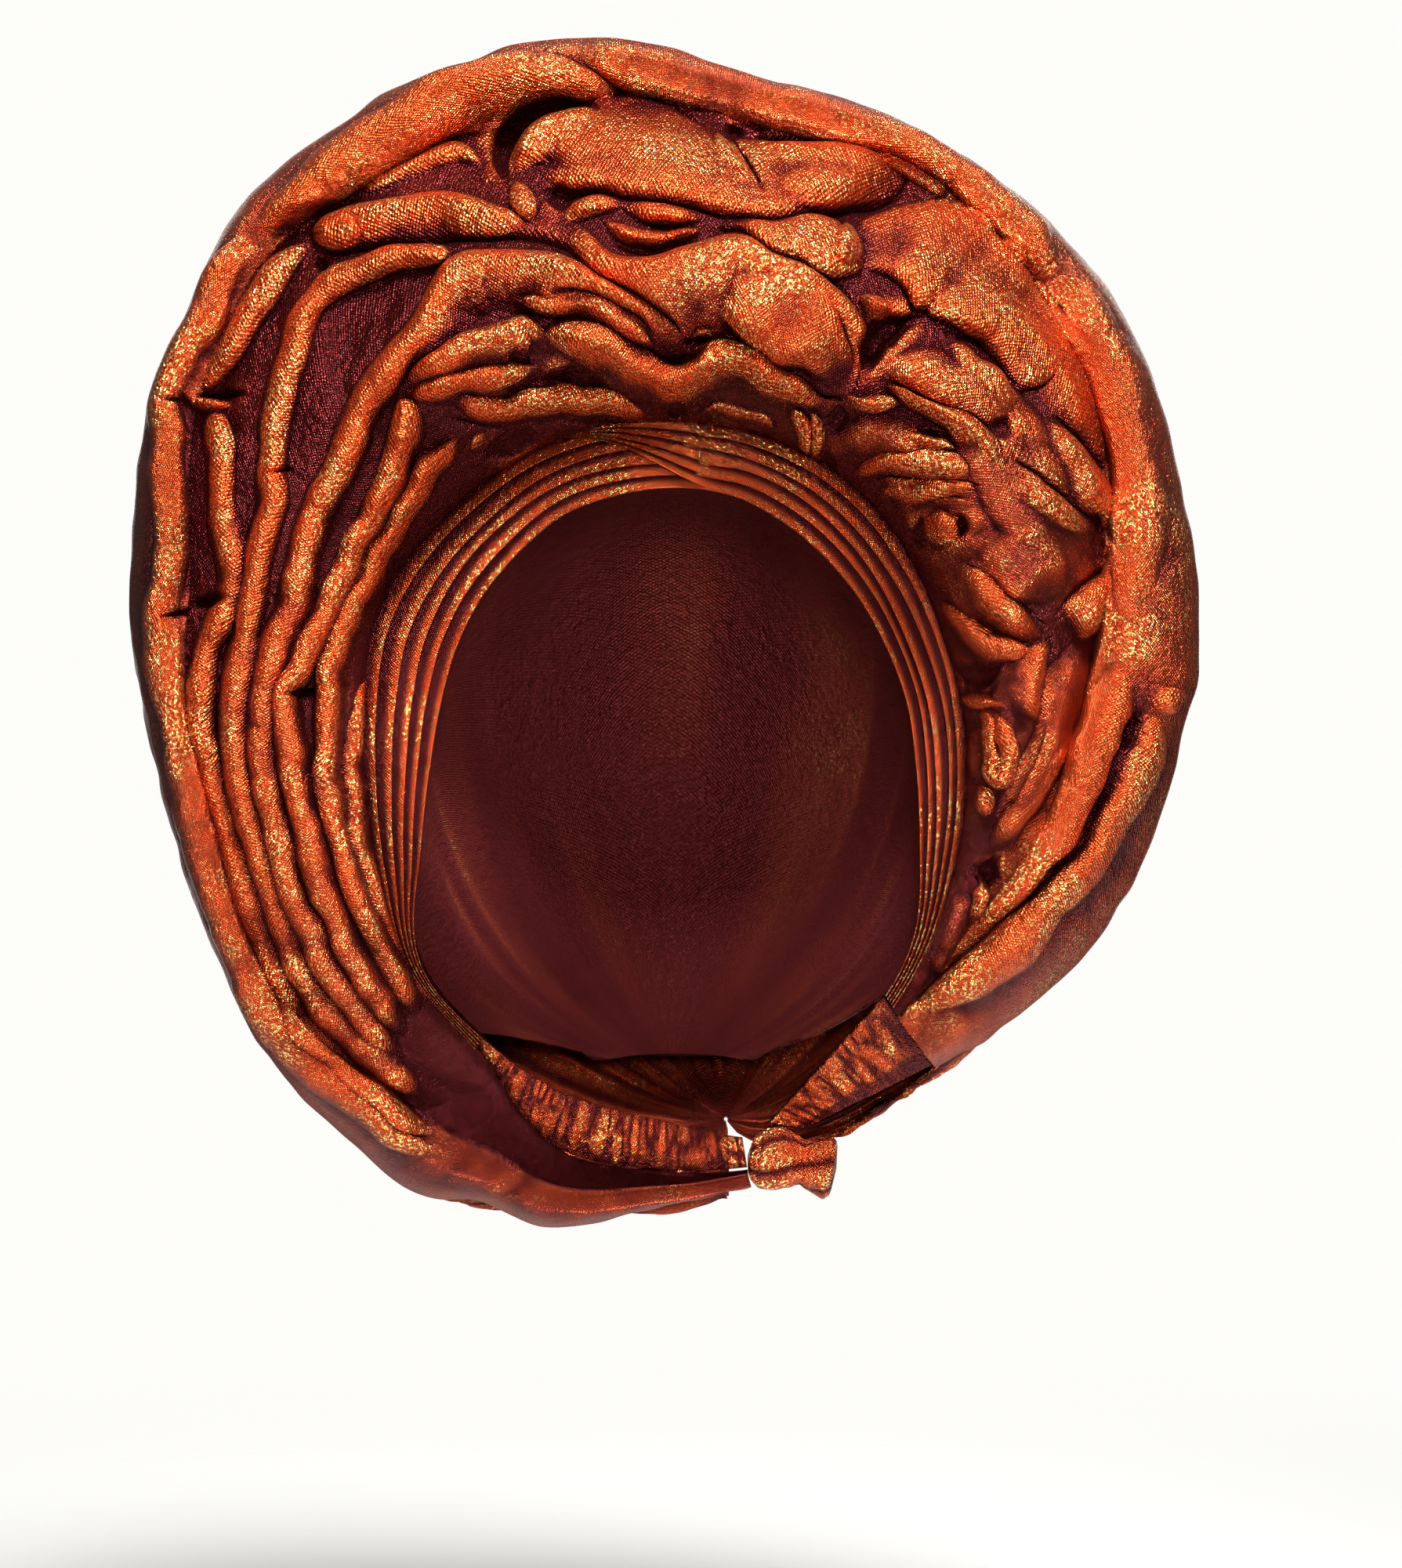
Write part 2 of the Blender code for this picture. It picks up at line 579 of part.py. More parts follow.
def drape_surface(angle, down):
    """Back cloth: from the back of the brim, down 0, in a smooth curve to the gather at the nape, down 1.

    It stays clear of the crown, and pleats that fan out from the gather stand up on it.
    """
    angle, down = np.broadcast_arrays(np.asarray(angle, dtype=float), np.asarray(down, dtype=float))
    edge = halo_surface(angle, BRIM_EDGE)
    tangent = edge - halo_surface(angle, BRIM_EDGE - BRIM_EDGE_STEP)
    tangent = tangent / np.linalg.norm(tangent, axis=-1, keepdims=True)
    start = edge + tangent * SEAM_GAP
    turn = np.radians(angle)
    outward = np.stack([np.sin(turn), 0 * turn, np.cos(turn)], axis=-1)
    gather = np.array([GATHER_SIDE, GATHER_SETBACK, -GATHER_DROP])
    end = gather + outward * GATHER_RADIUS
    length = np.linalg.norm(end - start, axis=-1, keepdims=True)
    leave = start + tangent * DRAPE_LEAVE * length
    arrive = end + (outward * DRAPE_OUT + np.array([0.0, DRAPE_BACK, 0.0])) * DRAPE_ARRIVE * length
    t = down[..., None]
    curve = (1 - t) ** 3 * start + 3 * t * (1 - t) ** 2 * leave + 3 * t**2 * (1 - t) * arrive + t**3 * end
    radii = head_radii(HEAD_CLEARANCE + 2 * CLOTH + DRAPE_CLEARANCE)
    scaled = (curve - head_centre()) / radii
    reach = np.linalg.norm(scaled, axis=-1, keepdims=True)
    pushed = 0.5 * (reach + 1 + np.sqrt((reach - 1) ** 2 + DRAPE_BLEND**2))
    pushed = reach + (pushed - reach) * (1 - (1 - t) ** DRAPE_RELEASE)
    round_part = (angle[..., None] - FAN_START) / (HALO_END - FAN_START)
    wave = 0.5 + 0.5 * np.cos(2 * np.pi * DRAPE_PLEATS * round_part)
    fold = DRAPE_PLEAT_HEIGHT * np.sin(np.pi * t) * wave
    return head_centre() + scaled * radii * pushed / reach * (1 + fold / DRAPE_PLEAT_RADIUS)


def make_back_drape():
    steps_along, steps_down = GRID["back_drape"]
    angle = np.linspace(FAN_START + DRAPE_START_MARGIN, HALO_END - DRAPE_END_MARGIN, steps_along + 1)[:, None]
    down = np.linspace(0, 1, steps_down + 1)[None, :] ** DRAPE_SPACING
    angle, down = np.broadcast_arrays(angle, down)
    outer = drape_surface(angle, down)
    inner = outer - CLOTH * normals(drape_surface, angle, down)
    return add_wall("back_drape", outer, inner, DEEP_COLOUR)


def knot_frame():
    """Start of the knot at the end of the left tie, its axis, and two directions across it, right tie first."""
    angle = np.array(FAN_START)
    start = band_surface(angle - np.degrees(SEAM_GAP / band_radius(angle)), np.array(0.5))
    axis = np.array(KNOT_AXIS)
    axis = axis / np.linalg.norm(axis)
    side = np.array(KNOT_SIDE)
    side = side - axis * np.dot(side, axis)
    side = side / np.linalg.norm(side)
    return start, axis, side, np.cross(axis, side)


def make_left_tie():
    """Make the tie that carries on from the left wrap, behind the neck, to the knot."""
    steps_along, steps_across = GRID["left_tie"]
    across = np.linspace(0, 1, steps_across + 1)[None, :]
    part = np.linspace(0, 1, steps_along + 1)[:, None]
    angle = BAND_START + (FAN_START - BAND_START) * part + 0 * across
    gap = np.degrees(SEAM_GAP / 2 / face_radius(angle))
    angle = angle - gap * (1 - 2 * part)
    inset = TIE_INSET / (band_radius(angle) - face_radius(angle))
    across = across * (1 - inset) + 0 * part
    waves_along, waves_across = LEFT_TIE_CRINKLES
    crinkle = CRINKLE_HEIGHT * (1 + np.sin(waves_along * np.radians(angle) + waves_across * across))
    front = band_surface(angle, across, crinkle)
    back = band_surface(angle, across) - CLOTH * normals(band_surface, angle, across)
    return add_wall("left_tie", front[::-1], back[::-1], BRIGHT_COLOUR)


def make_right_tie():
    """Make the tie between the end of the halo and the knot, ruled between its two edges."""
    steps_along, steps_across = GRID["right_tie"]
    end_angle = np.array(HALO_END + np.degrees(SEAM_GAP / face_radius(np.array(HALO_END))))
    inner_start = band_surface(end_angle, np.array(0.0))
    outer_start = halo_surface(end_angle, np.array(RIGHT_TIE_REACH))
    start, axis, side, _ = knot_frame()
    seat = start + axis * KNOT_LENGTH * KNOT_SEAT + side * (KNOT_RADIUS + KNOT_RIDGE_HEIGHT + SEAM_GAP / 2)
    inner_end = seat - axis * TIE_END_WIDTH / 2
    outer_end = seat + axis * TIE_END_WIDTH / 2
    t = np.linspace(0, 1, steps_along + 1)[:, None, None]
    w = np.linspace(0, 1, steps_across + 1)[None, :, None]
    ease = 1 - (1 - t) ** RIGHT_TIE_EASE
    inner_edge = inner_start + (inner_end - inner_start) * ease
    outer_edge = outer_start + (outer_end - outer_start) * ease
    middle = inner_edge + (outer_edge - inner_edge) * w
    along = np.gradient(middle, axis=0)
    across = np.gradient(middle, axis=1)
    normal = np.cross(along, across)
    normal = normal / np.linalg.norm(normal, axis=-1, keepdims=True)
    waves_along, waves_across = RIGHT_TIE_CRINKLES
    crinkle = CRINKLE_HEIGHT * (1 + np.sin(waves_along * t + waves_across * w)) * np.sin(np.pi * t)
    return add_wall("right_tie", middle + normal * crinkle, middle - normal * CLOTH, BRIGHT_COLOUR)


def make_nape_knot():
    """Make the knot: a ridged roll of cloth, waisted, with a flared end, and a point closing each end."""
    turns = GRID["nape_knot"][0]
    start, axis, side, other = knot_frame()
    angle = np.linspace(0, 2 * np.pi, turns, endpoint=False)[None, :]
    place, radius = (np.array(values)[:, None] for values in zip(*KNOT_PROFILE))
    ridge = KNOT_RIDGE_HEIGHT * np.cos(KNOT_RIDGES * angle + KNOT_TWIST * (place - KNOT_SEAT))
    reach = (KNOT_RADIUS * radius + ridge)[..., None]
    centre = start + axis * KNOT_LENGTH * place[..., None]
    rings = centre + reach * (np.cos(angle)[..., None] * side + np.sin(angle)[..., None] * other)
    count = rings.shape[0]
    points = np.concatenate([rings.reshape(-1, 3), [start], [start + axis * KNOT_LENGTH]])
    first, last = len(points) - 2, len(points) - 1
    faces = []
    for ring in range(count - 1):
        for turn in range(turns):
            a, b = ring * turns + turn, ring * turns + (turn + 1) % turns
            faces.append((a, b, b + turns, a + turns))
    for turn in range(turns):
        after = (turn + 1) % turns
        faces.append((first, after, turn))
        faces.append((last, (count - 1) * turns + turn, (count - 1) * turns + after))
    return add_object("nape_knot", points, faces, DEEP_COLOUR)


def make_gele():
    """Make every piece of the head tie."""
    make_brow_wrap("left_brow_wrap", lambda across: BAND_START + 0 * across, crossing_angle)
    make_brow_wrap("right_brow_wrap", crossing_angle, lambda across: HALO_END + 0 * across)
    make_crown_wrap()
    make_halo()
    make_back_drape()
    make_left_tie()
    make_right_tie()
    make_nape_knot()


clear_scene()
make_gele()
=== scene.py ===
"""Looks of the tied gele head tie: brow wraps, a halo of folds, crown, back and ties in copper brocade.

Angles are in degrees about the halo centre, 0 at the top and growing towards +X. A share goes from 0 at
the band's outer edge to 1 at the rim. Lengths are in metres unless a name says millimetres.
"""

from __future__ import annotations

import json
import logging
import math
from dataclasses import dataclass, field
from enum import Enum

import bpy
import numpy as np
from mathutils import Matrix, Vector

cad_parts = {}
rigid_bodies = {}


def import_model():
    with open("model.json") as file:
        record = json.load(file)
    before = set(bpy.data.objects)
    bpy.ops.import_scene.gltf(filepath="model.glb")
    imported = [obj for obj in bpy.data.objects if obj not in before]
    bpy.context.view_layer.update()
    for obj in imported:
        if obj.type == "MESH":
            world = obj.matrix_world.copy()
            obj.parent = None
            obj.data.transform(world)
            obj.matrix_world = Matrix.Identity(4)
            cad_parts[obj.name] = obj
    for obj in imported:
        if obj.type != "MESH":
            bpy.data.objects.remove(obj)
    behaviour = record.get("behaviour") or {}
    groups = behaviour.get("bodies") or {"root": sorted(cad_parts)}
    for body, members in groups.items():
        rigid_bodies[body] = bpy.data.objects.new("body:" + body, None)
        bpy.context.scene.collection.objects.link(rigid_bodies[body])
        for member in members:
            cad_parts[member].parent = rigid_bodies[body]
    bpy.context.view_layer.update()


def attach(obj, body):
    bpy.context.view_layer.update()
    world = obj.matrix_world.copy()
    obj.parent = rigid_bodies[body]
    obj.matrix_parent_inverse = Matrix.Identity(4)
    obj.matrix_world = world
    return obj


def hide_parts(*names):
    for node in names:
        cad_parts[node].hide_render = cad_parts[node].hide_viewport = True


Array = np.ndarray
LOG = logging.getLogger("gele")
MM = 0.001


class Slot(Enum):
    """Material slots of the record."""

    HALO = "halo_cloth"
    BAND = "band_cloth"
    CROWN = "crown_cloth"
    BACK = "back_cloth"
    TIE = "tie_cloth"


class Kind(Enum):
    """Cross-sections that a fold can have: 1 less a power of the place across, all to another power."""

    ROLL = (1.55, 0.95)
    SHEET = (1.2, 1.0)
    LEAF = (1.7, 1.15)
    FLAT = (6.0, 1.0)
    KNIFE = (1.15, 1.05)
    CREASE = (1.0, 1.3)
    PIT = (3.0, 1.0)


def ease(t: Array) -> Array:
    """Smooth step: three t squared less two t cubed, for t from 0 to 1."""
    t = np.clip(t, 0, 1)
    return t * t * (3 - 2 * t)


def smooth_lookup(places: Array, values: Array, wanted: Array) -> Array:
    """Cubic curve through a table, with the slope at each row taken from its two neighbours.

    Args:
        places: Rising places of the rows.
        values: Value of each row.
        wanted: Places to look up, held to the table's ends.

    Returns:
        The value at each wanted place.
    """
    slopes = np.gradient(values, places)
    wanted = np.clip(wanted, places[0], places[-1])
    index = np.clip(np.searchsorted(places, wanted) - 1, 0, len(places) - 2)
    step = places[index + 1] - places[index]
    t = (wanted - places[index]) / step
    rise = values[index + 1] - values[index]
    start_pull = (slopes[index] * step - rise) * (1 - t)
    end_pull = (slopes[index + 1] * step - rise) * t
    return values[index] + rise * t + t * (1 - t) * (start_pull - end_pull)


def lattice_cell(x: Array, y: Array, seed: int, cells: int = 128) -> tuple[Array, ...]:
    """Look up the lattice cell that each place is in.

    Args:
        x: First coordinate, in cells.
        y: Second coordinate, in cells.
        seed: Seed of the lattice's random values.
        cells: Size of the lattice before it repeats.

    Returns:
        The two places in the cell, then the values at its near left, near right, far left and far right.
    """
    table = np.random.default_rng(seed).random((cells, cells))
    column, row = np.floor(x).astype(int), np.floor(y).astype(int)
    left, right, near, far = column % cells, (column + 1) % cells, row % cells, (row + 1) % cells
    return x - column, y - row, table[left, near], table[right, near], table[left, far], table[right, far]


def lattice_noise(x: Array, y: Array, seed: int) -> Array:
    """Smooth noise from 0 to 1: random values on a lattice, eased between the corners of each cell."""
    u, v, near_left, near_right, far_left, far_right = lattice_cell(x, y, seed)
    across, along = ease(u), ease(v)
    near = near_left * (1 - across) + near_right * across
    far = far_left * (1 - across) + far_right * across
    return near * (1 - along) + far * along


def facet_noise(x: Array, y: Array, seed: int) -> Array:
    """Noise from 0 to 1 made of flat triangles: each lattice cell is cut in two along its diagonal."""
    u, v, near, right, left, far = lattice_cell(x, y, seed)
    lower = near + (right - near) * u + (far - right) * v
    upper = near + (left - near) * v + (far - left) * u
    return np.where(u > v, lower, upper)


@dataclass(frozen=True)
class Noise:
    """Smooth noise with its own cells per unit, its seed and its start on the lattice."""

    rate: tuple[float, float]
    seed: int
    start: tuple[float, float] = (0.0, 0.0)

    def at(self, x: Array, y: Array, seed: int = 0) -> Array:
        """Noise from 0 to 1 at these places, with a further seed added to its own."""
        placed = (x * self.rate[0] + self.start[0], y * self.rate[1] + self.start[1])
        return lattice_noise(*placed, self.seed + seed)


def blur(values: Array, cells: int) -> Array:
    """Box mean over this many cells to each side along both axes, from running sums."""
    for axis in (0, 1):
        pad = [(0, 0)] * values.ndim
        pad[axis] = (cells + 1, cells)
        sums = np.cumsum(np.pad(values, pad, mode="edge"), axis=axis)
        count = sums.shape[axis]
        high = np.take(sums, np.arange(2 * cells + 1, count), axis=axis)
        low = np.take(sums, np.arange(0, count - 2 * cells - 1), axis=axis)
        values = (high - low) / (2 * cells + 1)
    return values


def lowest_near(values: Array, cells: int) -> Array:
    """Lowest value within this many cells to each side along both axes."""
    found = values
    for axis in (0, 1):
        pad = [(0, 0), (0, 0)]
        pad[axis] = (cells, cells)
        padded = np.pad(found, pad, mode="edge")
        shifts = range(2 * cells + 1)
        windows = [np.take(padded, np.arange(found.shape[axis]) + shift, axis=axis) for shift in shifts]
        found = np.min(windows, axis=0)
    return found


def grid_normals(points: Array) -> Array:
    """Unit normals of a grid of points: the cross product of its differences along and across."""
    cross = np.cross(np.gradient(points, axis=0), np.gradient(points, axis=1))
    return cross / np.maximum(np.linalg.norm(cross, axis=-1, keepdims=True), 1e-12)


@dataclass
class Cloth:
    """A sheet of cloth as two grids, which run along it first and across it second.

    The back grid takes every so manyth point of the front, and a strip joins the two round all four edges.
    """

    name: str
    front: Array
    normals: Array
    back: Array
    uv: Array
    # The crest attribute is the painted light level: low paints shade, high paints light.
    crest: Array

    def ratio(self) -> int:
        """How many front cells one back cell spans."""
        return (self.front.shape[0] - 1) // (self.back.shape[0] - 1)

    @staticmethod
    def quads(rows: int, cols: int) -> Array:
        """Corner numbers of a grid's quads, counter-clockwise seen from its front."""
        number = np.arange(rows * cols).reshape(rows, cols)
        corners = (number[:-1, :-1], number[1:, :-1], number[1:, 1:], number[:-1, 1:])
        return np.stack([corner.ravel() for corner in corners], axis=1)

    @staticmethod
    def border(rows: int, cols: int) -> Array:
        """Point numbers once round a grid's edge, in the order that the strip needs."""
        number = np.arange(rows * cols).reshape(rows, cols)
        return np.concatenate([number[0, :], number[1:, -1], number[-1, -2::-1], number[-2:0:-1, 0]])

    def strip(self) -> Array:
        """Triangles between the two borders: a fan from each back point, and one on each back edge."""
        ratio = self.ratio()
        fine = self.border(*self.front.shape[:2])
        coarse = self.border(*self.back.shape[:2]) + self.front.shape[0] * self.front.shape[1]
        step = np.arange(len(fine))
        after = np.roll(fine, -1)
        target = coarse[(step // ratio + (step % ratio >= ratio / 2)) % len(coarse)]
        fans = np.stack([fine, after, target], axis=1)
        middle = fine[(np.arange(len(coarse)) * ratio + (ratio + 1) // 2) % len(fine)]
        links = np.stack([middle, np.roll(coarse, -1), coarse], axis=1)
        return np.concatenate([fans, links])

    def back_normals(self) -> Array:
        """Unit normals of the back grid, which look away from the front."""
        return -grid_normals(self.back)

    def build(self) -> bpy.types.Object:
        """Make the mesh object, with its normals, its UV map and the crest attribute, which holds the painted
        light level.

        Returns:
            The new object, linked to the scene, at the origin.
        """
        front_quads = self.quads(*self.front.shape[:2])
        back_quads = self.quads(*self.back.shape[:2])[:, ::-1] + self.front.shape[0] * self.front.shape[1]
        triangles = self.strip()
        corners = np.concatenate([front_quads.ravel(), back_quads.ravel(), triangles.ravel()])
        corners = corners.astype(np.int32)
        totals = np.repeat([4, 3], [len(front_quads) + len(back_quads), len(triangles)])
        starts = np.concatenate([[0], np.cumsum(totals)[:-1]])
        ratio = self.ratio()
        points = np.concatenate([self.front.reshape(-1, 3), self.back.reshape(-1, 3)])
        normals = np.concatenate([self.normals.reshape(-1, 3), self.back_normals().reshape(-1, 3)])
        uv = np.concatenate([self.uv.reshape(-1, 2), self.uv[::ratio, ::ratio].reshape(-1, 2)])
        crest = np.concatenate([self.crest.ravel(), self.crest[::ratio, ::ratio].ravel()])
        mesh = bpy.data.meshes.new(self.name)
        mesh.vertices.add(len(points))
        mesh.vertices.foreach_set("co", points.astype(np.float32).ravel())
        mesh.loops.add(len(corners))
        mesh.loops.foreach_set("vertex_index", corners)
        mesh.polygons.add(len(totals))
        mesh.polygons.foreach_set("loop_start", starts.astype(np.int32))
        mesh.polygons.foreach_set("loop_total", totals.astype(np.int32))
        mesh.update(calc_edges=True)
        mesh.uv_layers.new(name="cloth").data.foreach_set("uv", uv[corners].astype(np.float32).ravel())
        mesh.attributes.new("crest", "FLOAT", "POINT").data.foreach_set("value", crest.astype(np.float32))
        mesh.shade_smooth()
        mesh.normals_split_custom_set_from_vertices(normals.tolist())
        mesh.validate()
        made = bpy.data.objects.new(self.name, mesh)
        bpy.context.scene.collection.objects.link(made)
        return made


# Layout of the halo

SECTION_COLUMNS = ("angle", "face", "band", "crease", "crest")
SECTIONS = (
    (-190, 2.00, 0.51, 0.50, 0.72),
    (-178, 1.89, 0.80, 0.50, 0.72),
    (-165, 1.84, 0.85, 0.48, 0.72),
    (-150, 1.75, 0.23, 0.55, 0.76),
    (-135, 1.64, 0.23, 0.68, 0.83),
    (-120, 1.33, 0.77, 0.80, 0.87),
    (-105, 1.15, 1.02, 0.79, 0.86),
    (-90, 1.06, 1.18, 0.80, 0.87),
    (-75, 1.02, 1.31, 0.77, 0.85),
    (-60, 1.00, 1.25, 0.85, 0.92),
    (-45, 0.99, 1.16, 0.87, 0.93),
    (-30, 1.00, 1.08, 0.83, 0.90),
    (-15, 0.99, 1.06, 0.82, 0.94),
    (0, 0.99, 1.00, 0.87, 0.94),
    (15, 0.99, 1.01, 0.87, 0.94),
    (30, 0.97, 1.09, 0.86, 0.92),
    (45, 0.96, 1.09, 0.80, 0.89),
    (60, 0.97, 1.00, 0.75, 0.84),
    (75, 1.00, 0.91, 0.62, 0.73),
    (90, 1.06, 0.86, 0.50, 0.62),
    (105, 1.14, 0.82, 0.45, 0.56),
    (120, 1.29, 0.66, 0.30, 0.46),
    (135, 1.53, 0.31, 0.15, 0.40),
    (150, 1.70, 0.23, 0.10, 0.40),
)

RIM_COLUMNS = ("angle", "rim")
RIMS = (
    (-190, 0.712),
    (-178, 0.739),
    (-164, 0.791),
    (-159, 0.784),
    (-152, 0.811),
    (-143, 0.798),
    (-133, 0.794),
    (-120, 0.771),
    (-111, 0.762),
    (-100, 0.764),
    (-90, 0.783),
    (-83, 0.804),
    (-75, 0.827),
    (-67, 0.858),
    (-60, 0.891),
    (-52, 0.919),
    (-45, 0.955),
    (-38, 0.981),
    (-30, 0.988),
    (-24, 0.998),
    (-17, 0.998),
    (-12, 1.000),
    (-8, 0.992),
    (-4, 0.982),
    (4, 0.947),
    (10, 0.930),
    (16, 0.928),
    (23, 0.920),
    (30, 0.912),
    (42, 0.894),
    (50, 0.873),
    (60, 0.837),
    (65, 0.819),
    (75, 0.797),
    (83, 0.778),
    (88, 0.772),
    (91, 0.755),
    (97, 0.744),
    (111, 0.724),
    (120, 0.711),
    (129, 0.687),
    (140, 0.666),
    (150, 0.640),
)

DEPTH_COLUMNS = ("angle", "face", "band", "bulge", "rim", "roll")
DEPTHS = (
    (-190, 0.60, 0.62, 0.00, 0.70, 0.40),
    (-178, 0.58, 0.60, 0.00, 0.70, 0.60),
    (-165, 0.50, 0.54, 0.01, 0.66, 0.85),
    (-150, 0.35, 0.42, 0.05, 0.58, 1.00),
    (-135, 0.20, 0.26, 0.09, 0.44, 1.00),
    (-120, 0.08, 0.12, 0.14, 0.34, 1.00),
    (-90, 0.00, 0.03, 0.21, 0.25, 1.00),
    (-60, -0.05, 0.00, 0.28, 0.22, 1.00),
    (-30, -0.21, -0.12, 0.42, 0.20, 1.00),
    (0, -0.35, -0.24, 0.48, 0.20, 1.00),
    (30, -0.21, -0.14, 0.46, 0.20, 1.00),
    (60, -0.05, -0.02, 0.40, 0.22, 1.00),
    (90, 0.00, 0.03, 0.26, 0.26, 1.00),
    (120, 0.08, 0.12, 0.12, 0.38, 1.00),
    (135, 0.20, 0.24, 0.05, 0.46, 0.90),
    (150, 0.34, 0.37, 0.01, 0.54, 0.60),
)


def columns(rows: tuple, names: tuple[str, ...]) -> dict[str, Array]:
    """Turn table rows into one array for each named column."""
    return {name: np.array(values, dtype=float) for name, values in zip(names, zip(*rows))}


@dataclass(frozen=True)
class Layout:
    """Where the band and the halo lie, as they look from the eye point in front of the face."""

    centre_drop: float = 0.075
    face_radius: float = 0.070
    band_width: float = 0.022
    band_crown: float = 0.004
    rim_radius: float = 0.2165
    layer_depth: float = 0.100
    brim_depth: float = 0.030
    brim_crease: float = 0.010
    brim_turn: float = 125.0
    brim_inner_turn: float = 55.0
    eye_distance: float = 1.200
    eye_side: float = 0.0086
    eye_drop: float = 0.100
    tuck_depth: float = 0.07
    bulge_power: float = 0.8
    pixel: float = 0.00025
    centre_pixel: tuple[float, float] = (860.0, 900.0)
    tables: dict[str, dict[str, Array]] = field(
        default_factory=lambda: {
            "section": columns(SECTIONS, SECTION_COLUMNS),
            "rim": columns(RIMS, RIM_COLUMNS),
            "depth": columns(DEPTHS, DEPTH_COLUMNS),
        }
    )

    def value(self, table: str, name: str, angle: Array) -> Array:
        """Value of one column of a table at each angle."""
        rows = self.tables[table]
        return smooth_lookup(rows["angle"], rows[name], angle)

    def face_edge(self, angle: Array) -> Array:
        """Distance of the band's inner edge from the halo centre."""
        return self.face_radius * self.value("section", "face", angle)

    def band_edge(self, angle: Array) -> Array:
        """Distance of the band's outer edge from the halo centre."""
        return self.face_edge(angle) + self.band_width * self.value("section", "band", angle)

    def halo_width(self, angle: Array) -> Array:
        """Distance from the band's outer edge to the rim."""
        return self.rim_radius * self.value("rim", "rim", angle) - self.band_edge(angle)

    def seen_point(self, angle: Array, radius: Array, depth: Array) -> Array:
        """Place at this depth that shows at this angle and radius from the eye point."""
        turn = np.radians(angle)
        spread = (self.eye_distance + depth) / self.eye_distance
        side = self.eye_side + (radius * np.sin(turn) - self.eye_side) * spread
        up = -self.eye_drop + (radius * np.cos(turn) - self.centre_drop + self.eye_drop) * spread
        return np.stack([side, depth + 0 * side, up], axis=-1)

    def flat_from_pixels(self, pixels: Array) -> Array:
        """Flat places of pixels of the photograph, across and down."""
        return (pixels - self.centre_pixel) * (self.pixel, -self.pixel)

    def flat_place(self, angle: Array, share: Array) -> Array:
        """Sideways and upwards distance from the halo centre, as a pair on the last axis."""
        radius = self.band_edge(angle) + share * self.halo_width(angle)
        turn = np.radians(angle)
        return np.stack([radius * np.sin(turn), radius * np.cos(turn)], axis=-1)

    def halo_base(self, angle: Array, reach: Array) -> tuple[Array, Array, Array, Array]:
        """Smooth form of the halo, before its folds.

        From reach 0 at the band to 1 at the brim's crease the cloth bulges forward from a straight line.
        From 1 to 2 it follows two part ellipses that meet at the brim's crest, and turns to the back.

        Args:
            angle: Angles about the halo centre.
            reach: Places from the band to the brim's back edge.

        Returns:
            The points, the directions in which folds stand up, the shares, and the brim's turn in radians.
        """
        crease, crest = self.value("section", "crease", angle), self.value("section", "crest", angle)
        band_depth = self.layer_depth * self.value("depth", "band", angle)
        roll = self.value("depth", "roll", angle)
        roll_depth, crease_drop = self.brim_depth * roll, self.brim_crease * roll
        crest_depth = self.layer_depth * self.value("depth", "rim", angle) - roll_depth
        part = np.clip(reach, 0, 1)
        bulge = self.layer_depth * self.value("depth", "bulge", angle)
        bulge = bulge * np.sin(np.pi * part**self.bulge_power)
        front_depth = band_depth + (crest_depth + crease_drop - band_depth) * part - bulge
        front_depth = front_depth + self.tuck_depth * np.clip(-reach, 0, 1)
        inner = math.radians(self.brim_inner_turn)
        turn = np.radians(-self.brim_inner_turn + (self.brim_inner_turn + self.brim_turn) * (reach - 1))
        inner_share = (crest - crease) * np.sin(turn) / math.sin(inner)
        inner_depth = crease_drop * (1 - np.cos(turn)) / (1 - math.cos(inner))
        outer_share, outer_depth = (1 - crest) * np.sin(turn), roll_depth * (1 - np.cos(turn))
        on_brim = reach > 1
        share = np.where(on_brim, crest + np.where(turn < 0, inner_share, outer_share), reach * crease)
        depth = np.where(on_brim, crest_depth + np.where(turn < 0, inner_depth, outer_depth), front_depth)
        turn = np.where(on_brim, np.maximum(turn, 0), 0)
        around = np.radians(angle)
        out = np.stack([np.sin(around), 0 * around, np.cos(around)], axis=-1)
        facing = np.array([0.0, -1.0, 0.0])
        direction = out * np.sin(turn)[..., None] + facing * np.cos(turn)[..., None]
        points = self.seen_point(angle, self.band_edge(angle) + share * self.halo_width(angle), depth)
        return points, direction, share, turn

    def band_point(self, angle: Array, across: Array, height: Array | float = 0.0) -> Array:
        """Band cloth from the face edge, across 0, to the ruffles, across 1, raised by this height."""
        face_depth = self.layer_depth * self.value("depth", "face", angle)
        band_depth = self.layer_depth * self.value("depth", "band", angle)
        crown = self.band_crown * np.minimum(self.value("section", "band", angle), 1)
        crown = crown * np.sin(np.pi * across)
        depth = face_depth + (band_depth - face_depth) * across - crown - height
        radius = self.face_edge(angle) + (self.band_edge(angle) - self.face_edge(angle)) * across
        return self.seen_point(angle, radius, depth)


LAYOUT = Layout()


# Folds of the halo. Each has its cross-section, its width to the left and right of its crest and its height
# in millimetres, and the points that its crest passes, as pixels of the photograph. Left and right are those
# of a walk along the crest.
R, S, L, F, K = Kind.ROLL, Kind.SHEET, Kind.LEAF, Kind.FLAT, Kind.KNIFE
V, P = Kind.CREASE, Kind.PIT

